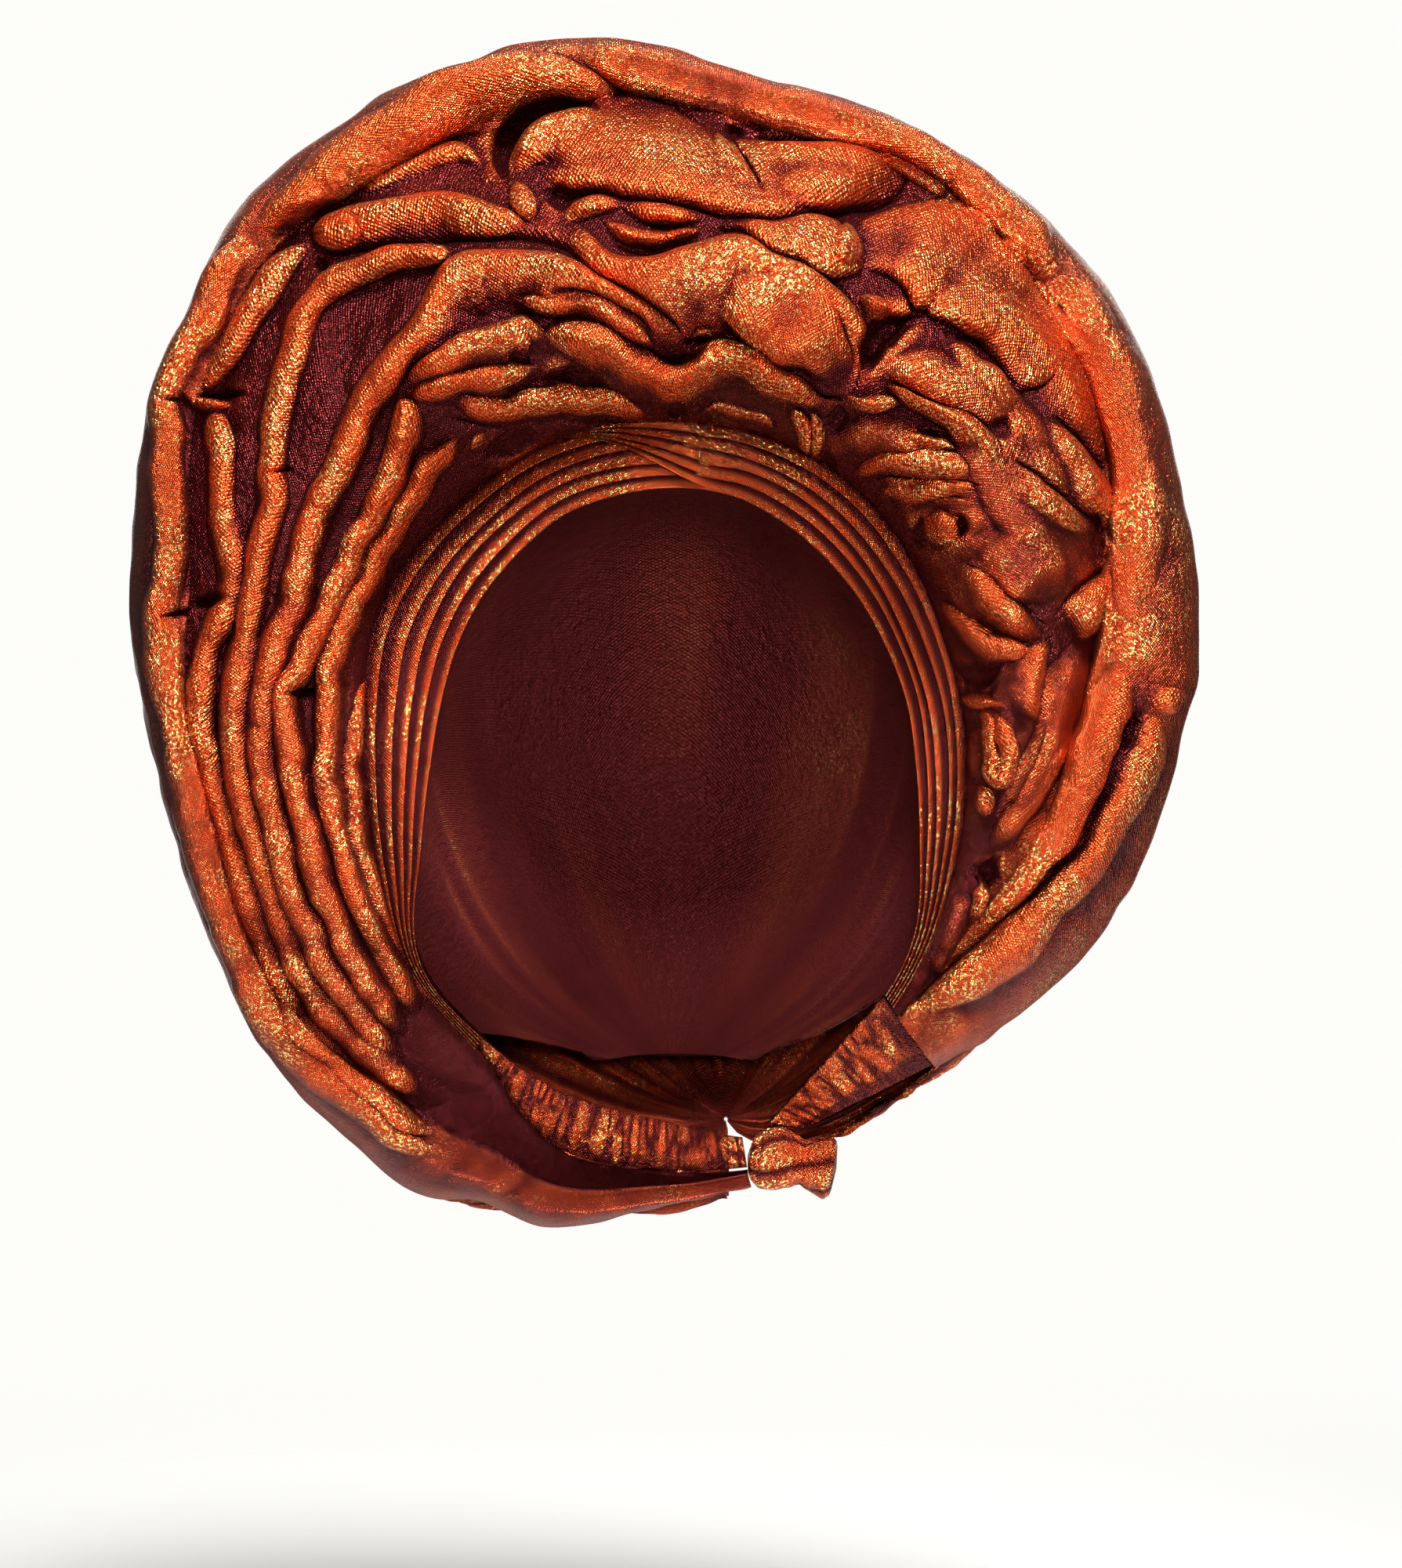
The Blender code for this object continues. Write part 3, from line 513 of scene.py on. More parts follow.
FAN_FOLDS = (
    (R, 3.3, 5.5, 4.9, (323, 307), (305, 325), (290, 345), (280, 365), (272, 390), (258, 415), (240, 437),
     (227, 460), (215, 490), (213, 510), (216, 540), (214, 580), (215, 620), (218, 660), (220, 700),
     (215, 740), (207, 785), (212, 815), (216, 860), (224, 910), (234, 960), (242, 1000), (250, 1040),
     (261, 1080), (270, 1120), (284, 1160), (300, 1200), (318, 1240), (337, 1280), (358, 1310),
     (386, 1340), (406, 1360), (430, 1380), (455, 1402), (480, 1422), (510, 1445), (550, 1470)),
    (R, 3.4, 4.0, 9.2, (392, 308), (375, 330), (358, 350), (338, 378), (322, 400), (308, 425), (297, 445),
     (283, 467), (268, 485), (252, 498)),
    (R, 3.6, 3.9, 9.2, (280, 514), (281, 545), (283, 580), (285, 620), (287, 650), (291, 680), (297, 705),
     (302, 730), (302, 748), (293, 768), (282, 788), (272, 810), (265, 835), (261, 860), (259, 890),
     (260, 920), (265, 960), (272, 1000), (285, 1040), (296, 1080), (309, 1120), (321, 1160), (336, 1200),
     (351, 1240), (369, 1280), (380, 1303), (400, 1328), (420, 1345), (443, 1362), (470, 1385),
     (495, 1406), (520, 1428), (548, 1446)),
    (K, 1.8, 2.4, 8.5, (242, 505), (262, 512), (282, 517), (300, 517)),
    (R, 3.7, 3.7, 9.7, (580, 343), (565, 331), (547, 326), (523, 327), (497, 335), (470, 346), (443, 357),
     (417, 371), (400, 388), (388, 408), (380, 430), (376, 455), (369, 480), (362, 510), (354, 540),
     (349, 570), (347, 600), (349, 640), (343, 670), (336, 700), (330, 730), (324, 760), (318, 790),
     (313, 825), (308, 860), (303, 890), (300, 920), (303, 960), (309, 1000), (319, 1040), (327, 1080),
     (338, 1120), (349, 1160), (363, 1200), (374, 1226), (390, 1251), (411, 1284), (436, 1313),
     (461, 1334), (486, 1355), (523, 1380), (540, 1392)),
    (R, 4.2, 4.0, 9.5, (583, 353), (565, 374), (552, 397), (536, 420), (520, 443), (505, 460), (490, 480),
     (472, 506), (460, 531), (447, 562), (434, 600), (415, 631), (402, 666), (394, 700), (385, 737),
     (375, 769), (363, 800), (351, 831), (341, 862), (334, 900), (333, 930), (335, 960), (341, 1000),
     (350, 1040), (362, 1080), (370, 1120), (382, 1160), (399, 1200), (419, 1240), (446, 1280),
     (469, 1313), (488, 1334), (509, 1348)),
    (R, 3.6, 3.6, 9.2, (510, 515), (514, 540), (513, 562), (504, 600), (487, 637), (468, 669), (454, 700),
     (442, 728), (428, 759), (412, 790), (396, 819), (384, 848), (370, 875), (364, 900), (365, 930),
     (372, 965), (381, 1000), (388, 1040), (396, 1080), (407, 1120), (423, 1160), (440, 1200), (455, 1230),
     (469, 1255), (485, 1277), (500, 1301), (516, 1318)),
    (S, 5.0, 3.5, 9.5, (505, 503), (517, 528), (516, 555), (506, 590)),
    (R, 3.0, 3.0, 8.6, (583, 551), (564, 575), (549, 600), (530, 631), (511, 662), (492, 694), (479, 722),
     (461, 757), (445, 784), (433, 812), (428, 840), (422, 870), (419, 900), (417, 930), (417, 960),
     (418, 1000), (425, 1040), (436, 1080), (446, 1120), (463, 1160), (482, 1200), (503, 1240),
     (519, 1268), (532, 1291)),
    (R, 2.6, 2.6, 5.9, (540, 712), (519, 744), (504, 764), (490, 795), (482, 837), (472, 870), (463, 900),
     (453, 930), (449, 960), (450, 1000), (455, 1040), (459, 1080), (473, 1120), (484, 1160), (505, 1200),
     (523, 1234), (544, 1263), (562, 1284)),
    (P, 3.0, 3.0, -3.5, (228, 490), (235, 520), (240, 560)),
    (P, 2.4, 2.4, -7.5, (255, 507), (285, 503), (325, 500)),
    (P, 3.0, 3.0, -6.0, (300, 757), (270, 768), (238, 776)),
    (V, 1.7, 1.7, -5.5, (204, 793), (225, 783), (250, 778)),
    (V, 1.6, 1.6, -5.0, (342, 607), (360, 601), (380, 596)),
    (P, 2.5, 2.5, -7.0, (366, 889), (385, 885), (410, 880)),
    (V, 1.6, 1.6, -4.0, (211, 511), (222, 507), (238, 500)),
)

TOP_LEFT_FOLDS = (
    (S, 6.0, 12.0, 8.0, (330, 298), (352, 272), (387, 247), (415, 222), (450, 195), (490, 165), (530, 140),
     (563, 120), (597, 105), (630, 95), (663, 90), (697, 93), (730, 98), (755, 111), (775, 132),
     (783, 155), (779, 174)),
    (P, 5.4, 5.4, -13.0, (645, 242), (638, 215), (640, 190), (650, 167), (668, 148), (695, 136),
     (725, 133), (750, 140), (766, 154)),
    (V, 2.4, 2.4, -5.0, (425, 262), (460, 240), (497, 216), (523, 203), (560, 180), (597, 168),
     (622, 168)),
    (K, 2.0, 3.2, 6.0, (443, 250), (470, 237), (497, 223), (513, 214), (540, 204), (563, 198), (585, 194),
     (603, 203), (615, 218)),
    (P, 3.0, 3.0, -5.0, (338, 302), (365, 282), (395, 268), (430, 262), (470, 252)),
    (S, 3.0, 8.5, 11.0, (392, 300), (415, 288), (440, 281), (480, 273), (520, 267), (560, 264), (600, 267),
     (640, 278), (678, 288)),
    (R, 5.2, 5.6, 12.5, (396, 297), (420, 297), (445, 295), (470, 290)),
    (S, 3.0, 3.0, 8.0, (655, 238), (665, 262), (677, 286)),
    (P, 4.5, 4.5, -7.0, (688, 250), (715, 253), (745, 251)),
    (V, 2.8, 2.8, -7.0, (412, 320), (450, 322), (490, 312), (530, 314), (563, 312), (600, 308), (663, 305),
     (700, 310), (730, 323), (754, 346), (789, 367), (823, 388), (848, 401), (872, 424)),
    (P, 3.0, 3.0, -5.0, (405, 325), (415, 342), (428, 354)),
    (P, 8.0, 8.0, -2.5, (548, 352), (510, 367), (480, 387), (455, 412), (440, 445), (428, 490)),
    (S, 12.0, 3.2, 11.5, (850, 424), (834, 408), (813, 391), (789, 377), (761, 363), (741, 352),
     (720, 346), (697, 341), (670, 338), (640, 338), (610, 341), (585, 350), (565, 374), (545, 405),
     (520, 440), (495, 473)),
    (K, 2.2, 2.4, 8.0, (657, 378), (690, 386), (713, 390), (741, 390), (765, 393), (786, 405), (806, 419),
     (827, 436), (842, 445)),
    (V, 2.0, 2.0, -4.0, (700, 373), (740, 373), (780, 386), (815, 406), (838, 426)),
    (V, 2.0, 2.0, -3.5, (640, 400), (680, 396), (720, 402), (765, 410), (800, 430)),
    (S, 2.6, 12.0, 10.0, (505, 500), (530, 478), (560, 455), (590, 440), (623, 430), (650, 422),
     (675, 414), (692, 421), (708, 438)),
    (R, 4.0, 4.0, 8.5, (512, 501), (545, 499), (580, 490), (620, 481), (655, 472), (690, 462)),
    (P, 3.6, 3.6, -4.0, (643, 440), (660, 452), (678, 467)),
    (S, 6.0, 6.5, 10.5, (688, 425), (715, 424), (741, 430), (765, 436), (789, 450), (810, 467), (832, 479),
     (854, 485), (879, 478), (906, 465), (927, 460), (948, 463), (968, 471), (996, 485), (1030, 499),
     (1062, 511)),
    (P, 3.5, 3.5, -7.0, (828, 447), (858, 460), (888, 459), (908, 446)),
    (P, 4.2, 4.2, -7.0, (688, 482), (715, 478), (745, 481), (785, 491)),
    (R, 3.2, 3.2, 7.5, (572, 506), (613, 516), (647, 518), (680, 514), (713, 511), (748, 511), (775, 512),
     (803, 520), (830, 527)),
    (P, 3.5, 3.5, -5.0, (843, 515), (862, 516), (882, 516)),
    (K, 1.8, 1.8, 5.0, (888, 520), (917, 512), (941, 519), (968, 529), (998, 547)),
    (V, 2.0, 2.0, -3.5, (560, 532), (620, 533), (700, 529), (780, 531), (830, 541)),
    (P, 5.0, 5.0, -6.0, (612, 578), (650, 557), (695, 545)),
    (K, 1.3, 1.3, 5.0, (599, 572), (607, 558), (616, 546)),
)

TOP_FOLDS = (
    (F, 12.0, 12.0, 8.0, (675, 215), (760, 205), (850, 225), (930, 240), (1020, 235), (1110, 240)),
    (V, 2.2, 2.2, -4.5, (683, 56), (720, 75), (754, 92), (789, 108), (823, 122), (858, 139), (886, 158),
     (905, 170)),
    (L, 10.0, 6.0, 3.5, (735, 60), (789, 88), (837, 107), (875, 125), (915, 144)),
    (P, 3.2, 3.2, -7.5, (920, 162), (938, 170), (957, 177)),
    (V, 2.4, 2.4, -6.5, (950, 176), (996, 180), (1030, 182), (1065, 185), (1099, 189), (1134, 195),
     (1158, 203), (1179, 214), (1200, 226), (1222, 243), (1240, 263), (1256, 280), (1272, 300),
     (1286, 320), (1298, 337), (1310, 353), (1323, 372)),
    (P, 3.0, 3.0, -6.0, (1203, 229), (1220, 240)),
    (V, 3.0, 3.0, -6.0, (1300, 345), (1325, 376), (1336, 392), (1350, 420)),
    (L, 9.0, 7.0, 3.5, (930, 122), (960, 135), (996, 150), (1030, 154), (1065, 167), (1099, 175),
     (1134, 183), (1165, 192), (1205, 212), (1222, 224), (1245, 240), (1262, 258), (1290, 288),
     (1320, 325), (1354, 358)),
    (L, 17.0, 15.0, 12.0, (662, 218), (700, 192), (740, 184), (790, 190), (840, 201), (885, 218),
     (925, 240), (957, 258)),
    (S, 2.6, 11.0, 13.0, (658, 228), (670, 196), (690, 173), (715, 161), (745, 161), (768, 170)),
    (K, 3.0, 3.0, 13.5, (913, 170), (923, 200), (941, 222), (960, 250)),
    (V, 1.7, 1.7, -4.5, (926, 176), (946, 205), (966, 238), (975, 258)),
    (S, 3.4, 16.0, 12.5, (948, 197), (975, 193), (1013, 196), (1060, 203), (1110, 208), (1155, 207)),
    (L, 9.0, 8.0, 12.5, (975, 238), (1020, 241), (1070, 240), (1118, 233)),
    (V, 3.4, 3.4, -9.0, (676, 242), (720, 250), (760, 253), (823, 258), (870, 266), (905, 276), (945, 284),
     (985, 284), (1030, 277), (1080, 272), (1120, 267), (1145, 252), (1159, 222)),
    (R, 2.9, 2.9, 8.0, (720, 283), (740, 271), (758, 264), (789, 259), (817, 263), (841, 272), (872, 277),
     (900, 281)),
    (K, 1.8, 2.2, 7.5, (765, 284), (780, 291), (799, 298), (823, 304), (848, 307), (872, 301), (899, 298)),
    (P, 2.4, 2.4, -5.0, (812, 283), (845, 289), (885, 290)),
    (P, 4.0, 4.0, -4.0, (780, 310), (825, 322), (865, 318), (903, 307)),
    (S, 3.2, 22.0, 13.5, (726, 283), (741, 296), (754, 315), (772, 330), (796, 343), (823, 349),
     (851, 345), (879, 335), (906, 325), (934, 320), (954, 323), (975, 333), (1003, 347), (1030, 361),
     (1051, 378), (1072, 395), (1087, 413), (1095, 435), (1097, 462)),
    (F, 12.0, 13.0, 12.5, (905, 372), (955, 388), (1005, 410), (1045, 440), (1075, 475)),
    (V, 2.3, 2.3, -8.0, (862, 430), (917, 434), (941, 441), (968, 452), (996, 469), (1023, 486),
     (1051, 500), (1082, 507)),
    (V, 2.2, 2.2, -8.0, (1100, 398), (1103, 432), (1100, 460), (1096, 484), (1086, 504)),
    (V, 2.7, 2.7, -8.0, (900, 296), (940, 303), (961, 312), (982, 325), (1013, 338), (1041, 357),
     (1065, 372), (1082, 388), (1098, 406)),
    (K, 1.1, 1.1, 9.5, (877, 437), (890, 426), (905, 420), (914, 427)),
    (P, 6.0, 6.0, -14.0, (1175, 412), (1140, 418), (1116, 430), (1109, 455), (1106, 484)),
    (P, 3.4, 3.4, -11.0, (1104, 408), (1140, 407), (1178, 406)),
    (F, 10.0, 10.5, 10.5, (915, 262), (960, 292), (1010, 308), (1060, 322), (1110, 330)),
    (F, 17.0, 15.0, 10.5, (1080, 325), (1150, 318), (1200, 330), (1250, 372), (1300, 415), (1340, 455)),
    (K, 6.0, 3.6, 12.5, (1082, 288), (1072, 315), (1062, 347)),
    (V, 1.7, 1.7, -3.5, (1150, 358), (1160, 380), (1173, 402)),
    (V, 1.7, 1.7, -3.5, (1100, 300), (1098, 330), (1092, 362)),
    (K, 1.6, 2.0, 11.0, (1093, 381), (1115, 391), (1142, 393)),
    (K, 1.8, 1.8, 7.0, (1011, 510), (1022, 535), (1028, 560), (1032, 585)),
    (K, 1.8, 1.8, 7.0, (1036, 518), (1041, 545), (1043, 565), (1040, 583)),
    (P, 1.0, 1.0, -4.0, (1032, 530), (1036, 555), (1037, 580)),
    (K, 1.3, 1.3, 5.0, (1045, 590), (1053, 603), (1060, 615)),
    (P, 3.0, 3.0, -5.0, (1058, 565), (1060, 585), (1066, 604)),
    (P, 4.5, 4.5, -6.0, (1050, 525), (1065, 531), (1088, 538)),
)

RIGHT_FOLDS = (
    (F, 13.0, 15.0, 7.0, (1185, 445), (1230, 500), (1275, 560), (1315, 630), (1350, 700), (1368, 760)),
    (F, 12.0, 11.0, 5.5, (1095, 545), (1160, 590), (1210, 650), (1240, 720), (1275, 780), (1290, 830)),
    (F, 7.0, 7.0, 5.0, (1300, 850), (1290, 900), (1270, 960), (1262, 1010)),
    (V, 2.4, 2.4, -6.5, (1344, 406), (1358, 432), (1368, 450), (1378, 466), (1388, 485), (1398, 515),
     (1406, 541), (1416, 574), (1421, 615), (1421, 659), (1421, 698)),
    (L, 10.6, 7.1, 3.5, (1350, 356), (1365, 375), (1378, 395), (1386, 415), (1392, 440), (1402, 462),
     (1417, 503), (1428, 548), (1440, 585), (1443, 625), (1443, 674), (1443, 726), (1439, 756),
     (1430, 795)),
    (S, 14.2, 16.5, 11.5, (1198, 285), (1212, 330), (1235, 365), (1262, 392), (1292, 415), (1322, 440),
     (1346, 470), (1358, 500), (1372, 535), (1390, 565), (1411, 602)),
    (V, 3.5, 3.5, -10.0, (1180, 406), (1204, 413), (1227, 425), (1240, 434), (1262, 456), (1284, 481),
     (1298, 499)),
    (V, 1.6, 1.6, -3.5, (1298, 497), (1328, 491), (1346, 476)),
    (S, 3.1, 18.9, 11.5, (1201, 439), (1221, 449), (1239, 467), (1261, 481), (1273, 500), (1290, 514),
     (1318, 520)),
    (L, 7.1, 10.6, 8.5, (1122, 474), (1170, 472), (1215, 490), (1258, 517)),
    (K, 2.0, 2.8, 9.5, (1126, 488), (1158, 507), (1187, 521), (1202, 529), (1221, 540), (1239, 552),
     (1256, 568), (1267, 588), (1268, 612)),
    (V, 1.7, 1.7, -4.0, (1140, 485), (1170, 503), (1205, 517), (1240, 535), (1268, 560), (1281, 592)),
    (P, 3.8, 3.8, -5.0, (1252, 541), (1275, 549), (1292, 568)),
    (K, 2.0, 2.0, 8.0, (1081, 504), (1093, 515), (1106, 519), (1128, 517), (1152, 514)),
    (K, 1.7, 1.7, 7.5, (1143, 552), (1161, 559), (1187, 567), (1210, 576), (1231, 585)),
    (P, 2.2, 2.2, -5.5, (1163, 552), (1185, 556), (1207, 564)),
    (L, 7.1, 7.1, 6.5, (1068, 565), (1090, 556), (1120, 556), (1155, 568), (1195, 580)),
    (R, 3.5, 2.9, 9.5, (1095, 605), (1121, 594), (1143, 590), (1173, 589), (1199, 593), (1221, 601),
     (1249, 610)),
    (V, 1.6, 1.6, -6.0, (1118, 609), (1150, 606), (1190, 610), (1225, 614), (1252, 618)),
    (R, 3.2, 2.7, 8.5, (1120, 633), (1139, 623), (1165, 628), (1187, 624), (1210, 620), (1232, 622),
     (1251, 629)),
    (K, 1.5, 1.5, 6.0, (1180, 640), (1210, 635), (1232, 639), (1250, 645)),
    (R, 5.1, 5.1, 11.5, (1206, 648), (1203, 675), (1200, 703)),
    (P, 3.2, 3.2, -6.5, (1224, 648), (1229, 670), (1222, 693)),
    (P, 2.6, 2.6, -5.0, (1179, 650), (1177, 675), (1183, 703)),
    (F, 11.0, 12.0, 7.0, (1258, 662), (1290, 700), (1325, 738), (1342, 765)),
    (R, 5.9, 5.9, 10.5, (1289, 601), (1312, 628), (1335, 649), (1362, 666), (1392, 675)),
    (V, 2.4, 2.4, -8.0, (1290, 583), (1315, 602), (1336, 621), (1352, 636), (1369, 651), (1392, 661)),
    (P, 3.0, 3.0, -7.0, (1384, 655), (1394, 661), (1405, 669)),
    (S, 5.0, 8.3, 11.5, (1317, 529), (1332, 543), (1354, 569), (1373, 597), (1388, 624), (1404, 648),
     (1414, 668), (1412, 683)),
    (V, 2.0, 2.0, -6.0, (1335, 527), (1369, 560), (1395, 594), (1411, 623), (1421, 657)),
    (V, 3.2, 3.2, -8.0, (1341, 789), (1362, 765), (1384, 745), (1406, 723), (1420, 702)),
    (R, 4.2, 6.6, 9.0, (1220, 720), (1240, 735), (1262, 757), (1285, 785), (1323, 811)),
    (V, 1.7, 1.7, -5.5, (1235, 715), (1269, 742), (1302, 772), (1333, 801)),
    (R, 2.9, 3.5, 8.5, (1201, 762), (1217, 776), (1230, 796), (1245, 812), (1261, 822), (1287, 829),
     (1318, 838)),
    (V, 1.7, 1.7, -5.5, (1262, 804), (1290, 818), (1317, 827), (1334, 814)),
    (P, 5.0, 5.0, -6.0, (1222, 845), (1255, 857), (1284, 850)),
    (P, 3.0, 3.0, -5.0, (1233, 875), (1245, 874), (1260, 872)),
    (S, 4.7, 7.7, 10.5, (1418, 726), (1402, 756), (1387, 782), (1367, 814)),
    (S, 3.1, 8.3, 9.5, (1332, 820), (1320, 845), (1314, 870), (1312, 900), (1313, 928)),
    (V, 1.5, 1.5, -5.0, (1337, 820), (1333, 850), (1330, 881), (1322, 915), (1315, 937)),
    (R, 5.9, 6.4, 8.5, (1374, 813), (1362, 850), (1354, 885), (1343, 919), (1331, 950), (1314, 985),
     (1296, 1020), (1277, 1052)),
    (V, 1.8, 1.8, -4.5, (1331, 922), (1318, 960), (1301, 1000), (1283, 1034), (1268, 1062)),
    (R, 3.8, 3.5, 7.5, (1353, 928), (1335, 970), (1314, 1010), (1292, 1047), (1270, 1082)),
    (V, 2.6, 2.6, -7.5, (1414, 738), (1406, 770), (1400, 812), (1390, 855), (1379, 915), (1364, 950),
     (1345, 990), (1320, 1034), (1301, 1068), (1281, 1088)),
    (P, 4.0, 4.0, -6.0, (1277, 1085), (1260, 1110), (1249, 1142)),
    (R, 9.4, 8.3, 8.0, (1432, 850), (1414, 903), (1401, 947), (1370, 1003), (1344, 1047), (1318, 1082),
     (1288, 1121), (1262, 1156), (1238, 1182)),
    (V, 3.2, 3.2, -7.0, (1458, 906), (1444, 930), (1425, 962), (1405, 1008), (1388, 1056), (1353, 1103),
     (1318, 1138), (1283, 1169), (1257, 1199), (1223, 1230), (1183, 1264), (1142, 1291)),
    (P, 4.5, 4.5, -8.0, (1457, 903), (1440, 935), (1424, 966)),
    (R, 7.7, 5.2, 6.0, (1482, 912), (1470, 945), (1453, 973), (1431, 1012), (1410, 1051), (1388, 1082),
     (1362, 1117), (1336, 1143), (1310, 1173), (1283, 1208), (1249, 1234), (1215, 1256), (1178, 1282)),
    (R, 4.0, 4.0, 8.0, (1477, 906), (1490, 896), (1503, 884)),
    (K, 1.8, 1.8, 8.5, (1250, 899), (1262, 930), (1268, 960), (1266, 985), (1273, 995), (1281, 988),
     (1286, 970), (1280, 940), (1265, 903)),
    (P, 1.2, 1.2, -4.0, (1265, 928), (1274, 955), (1274, 982)),
    (K, 2.0, 2.0, 7.5, (1226, 890), (1257, 895), (1290, 899)),
    (K, 1.5, 1.5, 5.0, (1252, 1002), (1256, 1018), (1261, 1036)),
    (K, 1.9, 1.9, 5.5, (1239, 1106), (1249, 1117), (1252, 1138), (1244, 1160), (1229, 1179)),
    (K, 1.7, 1.7, 4.5, (1232, 1136), (1218, 1173), (1207, 1203), (1191, 1240)),
)


@dataclass(frozen=True)
class Fold:
    """One fold of the halo's front, which narrows and sinks towards its ends and sways along its way."""

    kind: Kind
    left_mm: float
    right_mm: float
    height: float
    crest: tuple[tuple[float, float], ...]
    steps_per_point: int = 5
    margin_share: float = 1.2
    soft_share: float = 1.1
    soft_extra: float = 0.006
    soft_limit: float = 0.42
    end_width: float = 0.16
    end_power: float = 0.7
    end_height: float = 0.10
    end_rise: float = 1.3
    short_share: float = 1.6
    width_sway: float = 0.24
    least_height: float = 0.86
    height_sway: float = 0.28
    sway_lengths: tuple[float, float] = (0.010, 0.008)
    sway_seeds: tuple[int, int] = (21, 22)
    own_places: int = 97

    def full_width(self) -> float:
        """Width of the whole fold."""
        return (self.left_mm + self.right_mm) * MM

    def margin(self) -> float:
        """How far from its crest the fold is looked for."""
        return max(self.left_mm, self.right_mm) * MM * self.margin_share

    def sway(self, from_end: Array, which: int) -> Array:
        """Slow noise along the fold, for its width, 0, or its height, 1, at a place of the fold's own."""
        own = int(self.crest[0][0] + 7 * self.crest[0][1]) % self.own_places
        along = from_end / self.sway_lengths[which] + (which + 1) * own
        return lattice_noise(along, 0 * from_end + own, self.sway_seeds[which])

    def path(self) -> Array:
        """Crest in the flat layout: a cubic curve through its points, spaced by their distance."""
        placed = LAYOUT.flat_from_pixels(np.array(self.crest, dtype=float))
        along = np.concatenate([[0], np.cumsum(np.linalg.norm(np.diff(placed, axis=0), axis=1))])
        wanted = np.linspace(0, along[-1], self.steps_per_point * len(placed))
        return np.stack([smooth_lookup(along, placed[:, axis], wanted) for axis in (0, 1)], axis=-1)

    def profile(self, across: Array) -> Array:
        """Height from 0 to 1 at this share of the width, for the fold's kind."""
        power, outer = self.kind.value
        return np.clip(1 - np.clip(across, 0, 1) ** power, 0, 1) ** outer

    def nearest(self, places: Array) -> tuple[Array, Array, Array]:
        """Nearest point of the crest to each place, from one short straight piece of it after another.

        Args:
            places: Flat places.

        Returns:
            How far off the crest is, how far the nearest point is from the crest's nearer end, and 1 to its
            left or -1 to its right.
        """
        path = self.path()
        apart, along = np.full(len(places), np.inf), np.zeros(len(places))
        side = np.zeros(len(places))
        margin = self.margin()
        passed = 0.0
        for start, end in zip(path[:-1], path[1:]):
            low, high = np.minimum(start, end) - margin, np.maximum(start, end) + margin
            chosen = np.flatnonzero(np.all((places > low) & (places < high), axis=-1))
            step = end - start
            length = float(np.hypot(*step))
            rest = places[chosen] - start
            t = np.clip(rest @ step / length**2, 0, 1)
            off = rest - t[:, None] * step
            far = np.hypot(off[:, 0], off[:, 1])
            better = far < apart[chosen]
            kept = chosen[better]
            apart[kept], along[kept] = far[better], passed + t[better] * length
            side[kept] = np.sign(step[0] * rest[better, 1] - step[1] * rest[better, 0])
            passed += length
        return apart, np.minimum(along, passed - along), side

    def add_to(self, places: Array, raised: Array, lowered: Array, power: float) -> None:
        """Add this fold to two running fields: raised holds sums of powers, lowered the deepest hollow.

        Args:
            places: Flat places of the vertices.
            raised: Sum of the folds' heights, in millimetres, to this power; changed in place.
            lowered: Deepest hollow so far, in millimetres; changed in place.
            power: How sharply neighbouring folds meet.
        """
        path = self.path()
        margin = self.margin()
        inside = (places > path.min(axis=0) - margin) & (places < path.max(axis=0) + margin)
        chosen = np.flatnonzero(np.all(inside, axis=-1))
        apart, from_end, side = self.nearest(places[chosen])
        length = float(np.sum(np.linalg.norm(np.diff(path, axis=0), axis=1)))
        soft = min(self.soft_share * self.full_width() + self.soft_extra, self.soft_limit * length)
        inwards = from_end / soft
        width = np.where(side > 0, self.left_mm, self.right_mm) * MM
        width = width * (self.end_width + (1 - self.end_width) * np.clip(inwards, 0, 1) ** self.end_power)
        width = width * (1 + self.width_sway * self.sway(from_end, 0))
        risen = self.end_height + (1 - self.end_height) * np.clip(self.end_rise * inwards, 0, 1)
        tall = self.height * ease(risen) * min(1.0, length / (self.short_share * self.full_width()))
        tall = tall * (self.least_height + self.height_sway * self.sway(from_end, 1))
        added = tall * self.profile(apart / width)
        if self.height > 0:
            raised[chosen] += added**power
        else:
            lowered[chosen] = np.minimum(lowered[chosen], added)


@dataclass
class Crumple:
    """Wrinkles of the stiff cloth: flat facets at three sizes, warped and drawn out along the folds."""

    sizes_mm: tuple[float, ...] = (16.0, 7.5, 3.6)
    heights_mm: tuple[float, ...] = (3.2, 1.7, 0.65)
    stretch: float = 1.7
    warp: float = 1.1
    tilt: float = 0.45
    start: tuple[float, float] = (40.0, 60.0)
    warping: Noise = Noise((0.7, 0.7), 10, (5.0, 9.0))
    seed: int = 11

    def height(self, along: Array, across: Array) -> Array:
        """Height in millimetres: for each size, warped facets less their mean.

        Args:
            along: Place along the folds, in millimetres.
            across: Place across the folds, in millimetres.

        Returns:
            The height at each place.
        """
        total = np.zeros(np.shape(along))
        for number, (size, height) in enumerate(zip(self.sizes_mm, self.heights_mm)):
            x, y = along / (size * self.stretch), across / size
            x, y = x + self.tilt * y + self.start[0], y - self.tilt * x + self.start[1]
            shift = self.warp * (self.warping.at(x, y, self.seed + number) - 0.5)
            total = total + height * (facet_noise(x + shift, y - shift, self.seed + number) - 0.5)
        return total


